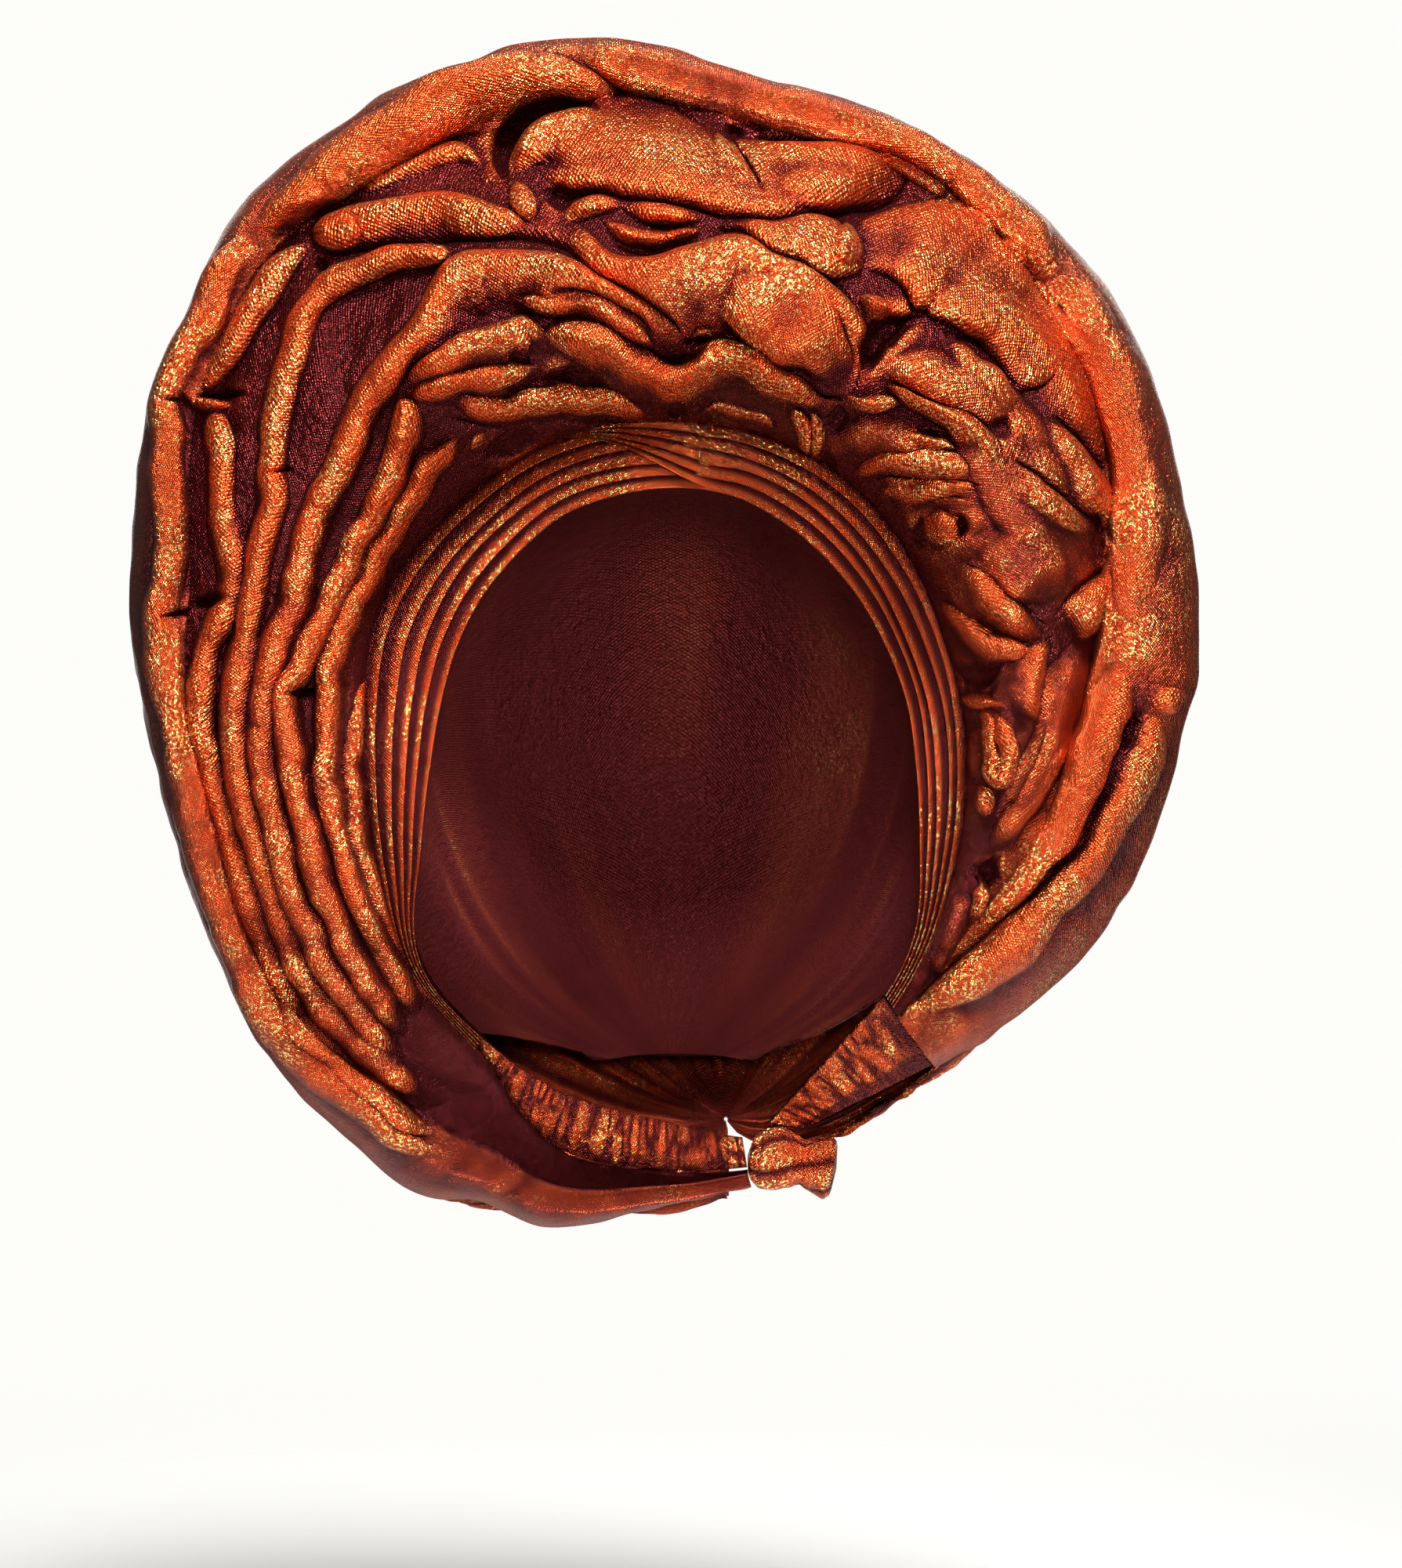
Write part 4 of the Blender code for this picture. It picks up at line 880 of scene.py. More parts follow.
class Nodes:
    """The node tree of one material, with a method that adds a node and gives its first output."""

    def __init__(self, name: str) -> None:
        """Start a material that holds only its output and its shader."""
        self.material = bpy.data.materials.new(name)
        self.material.use_nodes = True
        self.tree = self.material.node_tree
        self.shader = self.tree.nodes["Principled BSDF"]

    def link(self, value: object, socket: bpy.types.NodeSocket) -> None:
        """Put a value on a socket, or link a wrapped socket to it."""
        if isinstance(value, Socket):
            self.tree.links.new(value.socket, socket)
        else:
            socket.default_value = value

    def node(
        self,
        kind: str,
        settings: dict | None = None,
        inputs: dict | None = None,
        output: object = 0,
    ) -> Socket:
        """Add a node.

        Args:
            kind: Type name of the node.
            settings: Properties to set first. A list under the name stops sets a ramp's colours.
            inputs: Values or wrapped sockets by input name or number.
            output: Name or number of the output to give back.

        Returns:
            The wrapped output.
        """
        made = self.tree.nodes.new(kind)
        for name, value in (settings or {}).items():
            if name == "stops":
                self.set_stops(made, value)
            else:
                setattr(made, name, value)
        for name, value in (inputs or {}).items():
            self.link(value, made.inputs[name])
        return Socket(self, made.outputs[output])

    @staticmethod
    def set_stops(ramp: bpy.types.Node, stops: list) -> None:
        """Give a colour ramp these stops, each a place and a colour."""
        elements = ramp.color_ramp.elements
        while len(elements) < len(stops):
            elements.new(0.5)
        for element, (place, colour) in zip(elements, stops):
            element.position = place
            element.color = colour

    def mix(self, factor: object, first: object, second: object) -> Socket:
        """Mix two colours by a factor."""
        inputs = {0: factor, 6: first, 7: second}
        return self.node("ShaderNodeMix", {"data_type": "RGBA"}, inputs, output=2)


class Socket:
    """One number on its way through the nodes. Python's operators on it add Math nodes."""

    def __init__(self, nodes: Nodes, socket: bpy.types.NodeSocket) -> None:
        """Wrap an output socket."""
        self.nodes = nodes
        self.socket = socket

    def math(self, operation: str, *values: object) -> Socket:
        """Add one Math node with these values on its inputs in order."""
        inputs = dict(enumerate(values))
        return self.nodes.node("ShaderNodeMath", {"operation": operation}, inputs)

    def __add__(self, other: object) -> Socket:
        """Sum."""
        return self.math("ADD", self, other)

    def __radd__(self, other: object) -> Socket:
        """Sum with a number on the left."""
        return self.math("ADD", other, self)

    def __sub__(self, other: object) -> Socket:
        """Difference."""
        return self.math("SUBTRACT", self, other)

    def __rsub__(self, other: object) -> Socket:
        """Difference from a number on the left."""
        return self.math("SUBTRACT", other, self)

    def __mul__(self, other: object) -> Socket:
        """Product."""
        return self.math("MULTIPLY", self, other)

    def __rmul__(self, other: object) -> Socket:
        """Product with a number on the left."""
        return self.math("MULTIPLY", other, self)

    def __pow__(self, other: object) -> Socket:
        """Power."""
        return self.math("POWER", self, other)

    def sine(self) -> Socket:
        """Sine."""
        return self.math("SINE", self)

    def distance_from(self, value: float) -> Socket:
        """How far the number is from a value."""
        return self.math("ABSOLUTE", self - value)

    def between(self, low: float, high: float) -> Socket:
        """0 at the low value, 1 at the high value and smooth between them."""
        settings = {"interpolation_type": "SMOOTHSTEP"}
        return self.nodes.node("ShaderNodeMapRange", settings, {0: self, 1: low, 2: high, 3: 0.0, 4: 1.0})


@dataclass(frozen=True)
class Brocade:
    """Copper brocade with metal threads: painted maroon shade in its folds, orange on its faces, and painted
    golden highlights on its high crests where the threads sparkle.
    """

    name: str
    face: tuple[float, float, float, float] = (0.80, 0.092, 0.017, 1.0)
    # Painted shade: the maroon that the folds are painted with where the crest attribute is low.
    painted_shade_maroon: tuple[float, float, float, float] = (0.085, 0.008, 0.009, 1.0)
    # Painted highlight: the golden colour painted where the threads sparkle on high crests.
    painted_highlight_gold: tuple[float, float, float, float] = (1.00, 0.64, 0.20, 1.0)
    metallic: float = 0.88
    roughness: float = 0.25
    thread_mm: float = 1.05
    glitter_painted_highlight: float = 1.0
    crinkle: float = 1.0
    painted_light_range: tuple[float, float] = (0.28, 0.95)
    glitter_painted_highlight_range: tuple[float, float] = (0.44, 0.86)
    patch_range: tuple[float, float] = (0.44, 0.62)
    spark_range: tuple[float, float] = (0.50, 0.62)
    wander_scale: float = 260.0
    crinkle_scale: float = 150.0
    fine_scale: float = 420.0
    patch_scale: float = 34.0
    spark_scale: float = 900.0
    thread_shade: float = 0.42
    bump_depth: float = 0.0012

    def make(self) -> bpy.types.Material:
        """Build the material.

        Returns:
            The material, whose colour follows the crest attribute, a painted light level that paints maroon
            shade into the folds, and whose threads follow the UV map.
        """
        nodes = Nodes(self.name)
        uv = nodes.node("ShaderNodeUVMap", {"uv_map": "cloth"})
        place = nodes.node("ShaderNodeTexCoord", output="Object")
        split = {"Vector": uv}
        along = nodes.node("ShaderNodeSeparateXYZ", None, split, output="X")
        across = nodes.node("ShaderNodeSeparateXYZ", None, split, output="Y")
        crest = nodes.node("ShaderNodeAttribute", {"attribute_name": "crest"}, output="Fac")

        def noise(scale: float, detail: float = 2.0, roughness: float = 0.5) -> Socket:
            inputs = {"Vector": place, "Scale": scale, "Detail": detail, "Roughness": roughness}
            return nodes.node("ShaderNodeTexNoise", None, inputs)

        wander = noise(self.wander_scale, 1.0)
        turn = 2 * math.pi / (self.thread_mm * MM)
        warp = (along * turn + wander * 2.0).sine()
        weft = (across * turn + wander * 2.5).sine()
        weave = warp * weft * 0.5 + 0.5
        crinkle = 1 - noise(self.crinkle_scale, 3.0, 0.6).distance_from(0.5) * 2.6
        fine = 1 - noise(self.fine_scale, 2.0, 0.6).distance_from(0.5) * 2.4
        patches = noise(self.patch_scale, 3.0, 0.6).between(*self.patch_range)
        spark = noise(self.spark_scale, 1.0).between(*self.spark_range)
        # Painted light and shade: orange where the crest attribute is high, painted maroon shade where it is
        # low.
        lit = crest.between(*self.painted_light_range)
        # Sparkle of the metal threads, partly real and partly painted highlight: its golden colour is painted
        # only on high crests.
        glitter_painted_highlight = spark * crest.between(*self.glitter_painted_highlight_range) * (0.14 + patches * 1.1) * self.glitter_painted_highlight
        body = nodes.mix(patches * 0.35, self.face, tuple(0.8 * part for part in self.face[:3]) + (1.0,))
        body = nodes.mix(lit, self.painted_shade_maroon, body)
        threads = nodes.mix((1 - weave) * self.thread_shade, body, self.painted_shade_maroon)
        colour = nodes.mix(glitter_painted_highlight * 0.90, threads, self.painted_highlight_gold)
        rough = self.roughness + weave * 0.08 - patches * 0.06 - glitter_painted_highlight * 0.10
        height = crinkle * (0.9 * self.crinkle) + fine * (0.45 * self.crinkle) + weave * 0.34 + spark * 0.10
        relief = {"Strength": 1.0, "Distance": self.bump_depth, "Height": height}
        bump = nodes.node("ShaderNodeBump", None, relief)
        nodes.link(colour, nodes.shader.inputs["Base Color"])
        nodes.link(rough, nodes.shader.inputs["Roughness"])
        nodes.link(bump, nodes.shader.inputs["Normal"])
        nodes.shader.inputs["Metallic"].default_value = self.metallic
        return nodes.material


@dataclass(frozen=True)
class Plain:
    """Matt paint of the studio floor, which fades out round its edge so that no horizon shows."""

    name: str
    colour: tuple[float, float, float, float]
    fade: tuple[float, float] = (0.35, 1.2)
    roughness: float = 0.9

    def make(self) -> bpy.types.Material:
        """Build the material, whose colour drifts a little over the surface."""
        nodes = Nodes(self.name)
        place = nodes.node("ShaderNodeTexCoord", output="Object")
        drift = nodes.node("ShaderNodeTexNoise", None, {"Vector": place, "Scale": 2.0, "Detail": 2.0})
        darker = tuple(0.94 * part for part in self.colour[:3]) + (1.0,)
        far = nodes.node("ShaderNodeVectorMath", {"operation": "LENGTH"}, {0: place}, output="Value")
        nodes.link(nodes.mix(drift, self.colour, darker), nodes.shader.inputs["Base Color"])
        nodes.link(1 - far.between(*self.fade), nodes.shader.inputs["Alpha"])
        nodes.shader.inputs["Roughness"].default_value = self.roughness
        return nodes.material


@dataclass(frozen=True)
class Part:
    """What a finished piece stands for: the CAD nodes that it hides. Its slot, the flat size of its sheet,
    how it is held and what it rests on are kept, but nothing reads them.
    """

    nodes: tuple[str, ...]
    slot: Slot
    flat: tuple[float, float]
    held: str
    rests_on: tuple[str, ...]

    def dress(self, piece: bpy.types.Object, material: bpy.types.Material) -> None:
        """Give the piece its material, hang it on the root body, hide the nodes it stands for and log its
        face count.

        Args:
            piece: The finished object.
            material: Its material.
        """
        piece.data.materials.append(material)
        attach(piece, "root")
        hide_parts(*self.nodes)
        LOG.info("%s: %d faces", piece.name, len(piece.data.polygons))


@dataclass
class Halo:
    """The halo's front in three pieces, and its brim."""

    tuck: float = 0.04
    front_rows: int = 140
    brim_rows: int = 60
    back_ratio: int = 4
    thickness: float = 0.0015
    fold_power: float = 4.5
    waver: float = 0.0022
    swell: float = 0.0020
    # Painted light level of the crest attribute: painted shade in the valleys, more painted light the higher
    # the cloth stands, extra painted light on the brim and painted shade over the left fan.
    valley_painted_shade_level: float = 0.27
    painted_light_per_mm: float = 0.034
    brim_painted_light: float = 0.36
    brim_painted_light_end: float = 0.1
    fan_shade: float = 0.12
    fan_shade_start: float = 35.0
    fan_shade_span: float = 40.0
    crest_painted_light_rise_mm: float = 7.0
    crest_painted_light_cells: int = 9
    facing_power: float = 0.7
    settle_reach: float = 0.05
    brim_spacing: float = 1.15
    calm: float = 0.45
    calm_from: float = 0.9
    arc_radius_mm: float = 150.0
    brim_arc: float = 0.080
    sways: tuple[Noise, Noise] = (
        Noise((1 / 11, 1 / 11), 41, (70.0, 20.0)),
        Noise((1 / 11, 1 / 11), 42, (30.0, 80.0)),
    )
    wrinkles: Noise = Noise((0.35, 2.5), 31, (400.0, 0.0))
    wrinkle_mm: float = 1.6
    spans: tuple[tuple[str, float, float, int], ...] = (
        ("fan_pleats", -189.0, -35.0, 616),
        ("top_ruffles", -35.0, 30.0, 328),
        ("side_ruffles", 30.0, 144.0, 572),
    )
    parts: dict[str, Part] = field(
        default_factory=lambda: {
            name: Part((node,), Slot.HALO, flat, "gathered", (rests_on,))
            for name, node, flat, rests_on in (
                ("fan_pleats", "pleated_fan", (0.38, 0.097), "left_brow_wrap"),
                ("top_ruffles", "top_ruffle", (0.25, 0.139), "left_brow_wrap"),
                ("side_ruffles", "side_ruffle", (0.28, 0.0935), "right_brow_wrap"),
                ("brim_roll", "outer_brim", (0.95, 0.080), "back_drape"),
            )
        }
    )

    def reaches(self) -> Array:
        """Places from under the band to the brim's back edge, closer together at the brim's start."""
        front = np.linspace(-self.tuck, 1, self.front_rows + 1)
        brim = 1 + np.linspace(0, 1, self.brim_rows + 1) ** self.brim_spacing
        return np.concatenate([front, brim[1:]])

    def relief(self, places: Array, share: Array, angle: Array) -> Array:
        """Height of all folds: the root of their summed powers, less the hollows, and the crumple on top.

        Args:
            places: Flat places of the vertices.
            share: Their shares.
            angle: Their angles.

        Returns:
            The height of each vertex, in metres.
        """
        arc = np.radians(angle) * self.arc_radius_mm
        across = np.linalg.norm(places, axis=-1) / MM
        sway = np.stack([noise.at(arc, across) - 0.5 for noise in self.sways], axis=-1)
        flat = (places + sway * self.waver).reshape(-1, 2)
        raised, lowered = np.zeros(len(flat)), np.zeros(len(flat))
        for rows in (FAN_FOLDS, TOP_LEFT_FOLDS, TOP_FOLDS, RIGHT_FOLDS):
            for kind, left, right, height, *crest in rows:
                Fold(kind, left, right, height, tuple(crest)).add_to(flat, raised, lowered, self.fold_power)
        height = (raised ** (1 / self.fold_power) + lowered).reshape(share.shape)
        crumple = Crumple().height(arc, across)
        calm = 1 - self.calm * ease((share - self.calm_from) / (1 - self.calm_from))
        return (height + crumple * calm) * MM

    def build(self, material: bpy.types.Material) -> None:
        """Work out the whole halo on one grid, so that neighbours meet, and cut it into its pieces.

        Args:
            material: The finish of all four pieces.
        """
        parts = [np.linspace(start, end, count, endpoint=False) for _, start, end, count in self.spans]
        angle = np.concatenate(parts + [[self.spans[-1][2]]])[:, None]
        reach = self.reaches()[None, :]
        angle, reach = np.broadcast_arrays(angle, reach)
        base, direction, share, turn = LAYOUT.halo_base(angle, reach)
        places = LAYOUT.flat_place(angle, share)
        facing = np.clip(np.cos(turn), 0, 1) ** self.facing_power
        settle = ease((reach + self.tuck) / self.settle_reach)
        height = self.relief(places, share, angle) * facing * settle
        height = height + self.wrinkle_mm * MM * (self.wrinkles.at(angle, reach) - 0.5) * (1 - facing)
        rough = base + direction * height[..., None]
        slope = blur(grid_normals(rough), 2)
        sideways = slope - np.sum(slope * direction, axis=-1, keepdims=True) * direction
        front = rough + sideways * self.swell * settle[..., None]
        normals = grid_normals(front)
        # Painted light and shade: lighter the higher the folds stand and on the brim, darker over the left
        # fan and down in the hollows between folds.
        level = self.valley_painted_shade_level + self.painted_light_per_mm * height / MM
        level = level + self.brim_painted_light * ease((reach - 1) / self.brim_painted_light_end)
        level = level - self.fan_shade * ease((-angle - self.fan_shade_start) / self.fan_shade_span)
        crest = np.clip(level + (height - blur(height, self.crest_painted_light_cells)) / (self.crest_painted_light_rise_mm * MM), 0, 1)
        lining = base + direction * (blur(lowest_near(height, 3), 2) - self.thickness)[..., None]
        uv = np.stack([np.radians(angle) * self.arc_radius_mm * MM, reach * self.brim_arc], axis=-1)
        cuts, first = [], 0
        for name, _, _, count in self.spans:
            cuts.append((name, slice(first, first + count + 1), slice(0, self.front_rows + 1)))
            first += count
        cuts.append(("brim_roll", slice(0, first + 1), slice(self.front_rows, None)))
        for name, rows, cols in cuts:
            cut = (rows, cols)
            back = lining[cut][:: self.back_ratio, :: self.back_ratio]
            cloth = Cloth(name, front[cut], normals[cut], back, uv[cut], crest[cut])
            self.parts[name].dress(cloth.build(), material)


@dataclass
class BrowWrap:
    """One pleated band beside the face, with one line of vertices along each fold edge."""

    name: str
    start: float
    end: float
    crossing: tuple[float, float]
    part: Part
    lift_mm: float = 0.0
    pleats: int = 5
    pleat_mm: float = 2.2
    nose: float = 0.12
    overhang: float = 0.16
    overhang_end: float = 0.4
    least_height: float = 0.75
    height_sway: float = 0.5
    crossing_thinner: float = 0.55
    waver_mm: float = 0.35
    lift_end: float = 0.12
    edge_drift: float = 0.07
    lining_gap: float = 0.0004
    heights: Noise = Noise((0.06, 1.7), 0, (50.0, 0.0))
    wavers: Noise = Noise((0.45, 0.8), 1, (90.0, 0.0))
    drifts: Noise = Noise((0.04, 3.1), 2, (20.0, 0.0))
    # Painted light of the pleats: a base level, painted shade down into each fold, a painted highlight along
    # each fold edge, and more painted light over the top of the head.
    pleat_painted_light: tuple[float, float, float] = (0.12, 0.25, 0.60)
    top_painted_light: float = 0.60
    top_angle: float = 48.0
    thread_arc: float = 0.08
    pleat_cloth: float = 0.006
    angle_step: float = 0.5
    seed: int = 3
    thickness: float = 0.0012
    back_ratio: int = 3
    pleat_samples: tuple[float, ...] = (
        0.0, 0.012, 0.03, 0.055, 0.085, 0.12, 0.17, 0.24, 0.33, 0.43, 0.54, 0.65, 0.76, 0.86, 0.94,
    )

    def lowest_across(self, angle: Array) -> Array:
        """Inner limit of the band: 0 along the face, rising to 1 along the crossing over the brow."""
        first, last = self.crossing
        return ease((angle - first) / (last - first)) if first != last else 0 * angle

    def build(self, material: bpy.types.Material) -> None:
        """Make the band.

        Across each pleat the height rises round a nose and falls in a straight line to the next fold edge.
        The nose hangs over the pleat before it.

        Args:
            material: The finish of the band.
        """
        places = [number + sample for number in range(self.pleats) for sample in self.pleat_samples]
        place = np.array(places + [float(self.pleats)])
        back_cells = round(abs(self.end - self.start) / self.angle_step / self.back_ratio)
        angle = np.linspace(self.start, self.end, self.back_ratio * back_cells + 1)[:, None]
        angle, place = np.broadcast_arrays(angle, place[None, :])
        number = np.minimum(np.floor(place), self.pleats - 1)
        q = place - number
        low = self.lowest_across(angle)
        edge = self.fold_edge(angle, number, low)
        after = self.fold_edge(angle, number + 1, low)
        rise = np.sqrt(np.clip(1 - (1 - q / self.nose) ** 2, 0, 1))
        fall = 1 - (q - self.nose) / (1 - self.nose)
        shape = np.where(q < self.nose, rise, fall)
        overhang = self.overhang * shape * np.clip(1 - q / self.overhang_end, 0, 1)
        across = edge + (after - edge) * (q - overhang * (number > 0))
        sway = self.height_sway * self.heights.at(angle, number, self.seed)
        tall = self.pleat_mm * (self.least_height + sway) * (1 - self.crossing_thinner * low)
        waver = self.waver_mm * (self.wavers.at(angle, place, self.seed) - 0.5)
        lift = self.lift_mm * ease(low / self.lift_end)
        height = (tall * shape + waver + lift) * MM
        front = LAYOUT.band_point(angle, np.clip(across, 0, 1), height)
        normals = grid_normals(front)
        flat = LAYOUT.band_point(angle, edge + (after - edge) * q, lift * MM)
        back = flat - (self.thickness + self.lining_gap) * grid_normals(flat)
        ratio = self.back_ratio
        uv = np.stack([np.radians(angle) * self.thread_arc, place * self.pleat_cloth], axis=-1)
        # Painted light and shade: each pleat darker down in its fold, a painted highlight along its fold
        # edge, lighter over the top.
        top = np.exp(-((angle / self.top_angle) ** 2))
        base, slope, edge_painted_highlight = self.pleat_painted_light
        crest = base + slope * shape + edge_painted_highlight * shape**3 + self.top_painted_light * top * shape
        crest = np.clip(crest, 0, 1)
        cloth = Cloth(self.name, front, normals, back[::ratio, ::ratio], uv, crest)
        self.part.dress(cloth.build(), material)

    def fold_edge(self, angle: Array, number: Array, low: Array) -> Array:
        """Where a fold edge lies across the band: evenly spaced, and wandering a little along its way."""
        even = number / self.pleats
        inner = (number > 0) & (number < self.pleats)
        drift = self.edge_drift * (self.drifts.at(angle, number, self.seed) - 0.5)
        return low + (1 - low) * (even + drift * inner)


@dataclass
class Crown:
    """The cloth over the head, seen from inside through the face opening."""

    part: Part
    head_size: tuple[float, float, float] = (0.158, 0.194, 0.224)
    setback: float = 0.002
    clearance: float = 0.001
    cloth: float = 0.0015
    tuck: float = 0.30
    nape_width: float = 0.056
    nape_setback: float = 0.072
    nape_drop: float = 0.192
    nape_angle: float = 150.0
    seat_gap: float = 0.0016
    edge_power: int = 3
    folds: Noise = Noise((0.10, 2.2), 51, (40.0, 0.0))
    wrinkles: Noise = Noise((0.30, 5.0), 52, (70.0, 0.0))
    fold_mm: float = 2.0
    wrinkle_mm: float = 1.2
    relief: float = 0.6
    edge_margin: float = 0.02
    # Painted light of the crown's wrinkles: darker in their hollows, lighter on their tops.
    painted_light_base: float = 0.35
    painted_light_rise_mm: float = 4.0
    thread_arc: float = 0.08
    thread_length: float = 0.22
    start: float = -148.0
    end: float = 142.0
    steps: tuple[int, int] = (240, 96)
    back_ratio: int = 4

    def centre(self) -> Array:
        """Centre of the head."""
        return np.array([0.0, self.setback, -self.head_size[2] / 2])

    def radii(self, extra: float) -> Array:
        """Half sizes of the head with this much added."""
        return np.array(self.head_size) / 2 + extra

    def surface(self, angle: Array, down: Array) -> Array:
        """Crown cloth: each thread runs on the head from behind the band, down 0, to the nape, down 1."""
        seat = LAYOUT.band_point(angle, self.tuck + 0 * angle)
        behind = seat - LAYOUT.band_point(angle, self.tuck + 0 * angle, 1.0)
        front_edge = seat + behind * (2 * self.cloth + self.seat_gap)
        back_edge = np.zeros(angle.shape + (3,)) + (0.0, self.nape_setback, -self.nape_drop)
        back_edge[..., 0] = self.nape_width / 2 * angle / self.nape_angle
        radii = self.radii(self.clearance + self.cloth)
        first = (front_edge - self.centre()) / radii
        last = (back_edge - self.centre()) / radii
        first_unit = first / np.linalg.norm(first, axis=-1, keepdims=True)
        last_unit = last / np.linalg.norm(last, axis=-1, keepdims=True)
        whole = np.arccos(np.clip(np.sum(first_unit * last_unit, axis=-1, keepdims=True), -1, 1))
        t = down[..., None]
        arc = (np.sin((1 - t) * whole) * first_unit + np.sin(t * whole) * last_unit) / np.sin(whole)
        on_head = self.centre() + radii * arc
        off_start = (first - first_unit) * radii * (1 - t) ** self.edge_power
        return on_head + off_start + (last - last_unit) * radii * t**self.edge_power

    def build(self, material: bpy.types.Material) -> None:
        """Make the crown, with soft wrinkles that run towards the nape.

        Args:
            material: The finish of the crown.
        """
        angle = np.linspace(self.start, self.end, self.steps[0] + 1)[:, None]
        down = np.linspace(0, 1, self.steps[1] + 1)[None, :]
        angle, down = np.broadcast_arrays(angle, down)
        smooth = self.surface(angle, down)
        normals = grid_normals(smooth)
        folds = self.fold_mm * (self.folds.at(angle, down) - 0.5)
        wrinkles = self.wrinkle_mm * np.abs(self.wrinkles.at(angle, down) - 0.5)
        within = np.clip(down, self.edge_margin, 1 - self.edge_margin)
        height = (folds + wrinkles) * MM * np.sin(np.pi * within)
        front = smooth + normals * (height[..., None] * self.relief)
        back = front - self.cloth * normals
        # Painted shade in the wrinkles' hollows and painted light on their tops.
        crest = np.clip(self.painted_light_base + height / (self.painted_light_rise_mm * MM), 0, 1)
        uv = np.stack([np.radians(angle) * self.thread_arc, down * self.thread_length], axis=-1)
        ratio = self.back_ratio
        cloth = Cloth("crown_cover", front, grid_normals(front), back[::ratio, ::ratio], uv, crest)
        self.part.dress(cloth.build(), material)


@dataclass
class BackDrape:
    """The back of the halo, gathered from the rim to the nape."""

    part: Part
    crown: Crown
    gather: tuple[float, float, float] = (0.017, 0.084, -0.214)
    gather_radius: float = 0.0006
    clearance: float = 0.007
    pleats: int = 8
    pleat_height: float = 0.006
    pleat_radius: float = 0.12
    pleat_start: float = -189.0
    pleat_span: float = 333.0
    edge_gap: float = 0.0004
    edge_reaches: tuple[float, float] = (1.97, 2.0)
    leave_share: float = 0.14
    arrive_share: float = 0.36
    arrive_out: float = 0.95
    arrive_back: float = 0.25
    push_softness: float = 0.0025
    push_power: int = 8
    gathers: tuple[tuple[float, float], ...] = ((3.4, 15.5), (1.2, 37.0))
    gather_power: float = 0.8
    rise_skew: float = 0.8
    rise_power: float = 0.7
    crumple_share: float = 0.9
    crumple_arcs: tuple[float, float] = (170.0, 130.0)
    drifts: Noise = Noise((0.05, 3.0), 61, (10.0, 0.0))
    drift_angle: float = 4.0
    row_spacing: float = 1.05
    thickness: float = 0.0015
    painted_light_rise_mm: float = 4.0
    thread_arc: float = 0.13
    thread_length: float = 0.19
    start: float = -186.0
    end: float = 143.0
    steps: tuple[int, int] = (640, 72)
    back_ratio: int = 4

    def surface(self, angle: Array, down: Array) -> Array:
        """Back cloth: a cubic from the brim's back edge to the gather, held off the crown, with pleats."""
        before, edge = (LAYOUT.halo_base(angle, reach + 0 * angle)[0] for reach in self.edge_reaches)
        tangent = (edge - before) / np.linalg.norm(edge - before, axis=-1, keepdims=True)
        start = edge + tangent * self.edge_gap
        turn = np.radians(angle)
        outward = np.stack([np.sin(turn), 0 * turn, np.cos(turn)], axis=-1)
        end = np.array(self.gather) + outward * self.gather_radius
        length = np.linalg.norm(end - start, axis=-1, keepdims=True)
        leave = start + tangent * self.leave_share * length
        arriving = outward * self.arrive_out + np.array([0.0, self.arrive_back, 0.0])
        arrive = end + arriving * self.arrive_share * length
        t = down[..., None]
        curve = (1 - t) ** 3 * start + 3 * t * (1 - t) ** 2 * leave
        curve = curve + 3 * t**2 * (1 - t) * arrive + t**3 * end
        radii = self.crown.radii(self.crown.clearance + 2 * self.crown.cloth + self.clearance)
        scaled = (curve - self.crown.centre()) / radii
        far = np.linalg.norm(scaled, axis=-1, keepdims=True)
        pushed = 0.5 * (far + 1 + np.sqrt((far - 1) ** 2 + self.push_softness))
        pushed = far + (pushed - far) * (1 - (1 - t) ** self.push_power)
        round_share = (angle[..., None] - self.pleat_start) / self.pleat_span
        wave = 0.5 + 0.5 * np.cos(2 * np.pi * round_share * self.pleats)
        fold = self.pleat_height * np.sin(np.pi * t) * wave
        return self.crown.centre() + scaled * radii * pushed / far * (1 + fold / self.pleat_radius)

    def build(self, material: bpy.types.Material) -> None:
        """Make the back, with small gathers that grow towards the nape.

        Args:
            material: The finish of the back.
        """
        angle = np.linspace(self.start, self.end, self.steps[0] + 1)[:, None]
        down = np.linspace(0, 1, self.steps[1] + 1)[None, :] ** self.row_spacing
        angle, down = np.broadcast_arrays(angle, down)
        smooth = self.surface(angle, down)
        normals = grid_normals(smooth)
        drift = self.drift_angle * (self.drifts.at(angle, down) - 0.5)
        (main_mm, main_rate), (small_mm, small_rate) = self.gathers
        main = main_mm * np.abs(np.sin(np.radians((angle + drift) * main_rate))) ** self.gather_power
        small = small_mm * np.abs(np.sin(np.radians((angle - 2 * drift) * small_rate))) ** self.gather_power
        down_arc, round_arc = self.crumple_arcs
        crumple = Crumple(seed=71, stretch=1.0).height(down * down_arc, np.radians(angle) * round_arc)
        rise = np.sin(np.pi * down**self.rise_skew) ** self.rise_power
        height = (main + small * down + crumple * self.crumple_share) * rise * MM
        front = smooth + normals * height[..., None]
        back = smooth + normals * (blur(lowest_near(height, 2), 2) - self.thickness)[..., None]
        # Painted shade in the gathers' hollows and painted light on their tops.
        crest = np.clip(0.5 + (height - blur(height, 8)) / (self.painted_light_rise_mm * MM), 0, 1)
        uv = np.stack([np.radians(angle) * self.thread_arc, down * self.thread_length], axis=-1)
        ratio = self.back_ratio
        cloth = Cloth("back_gathers", front, grid_normals(front), back[::ratio, ::ratio], uv, crest)
        self.part.dress(cloth.build(), material)


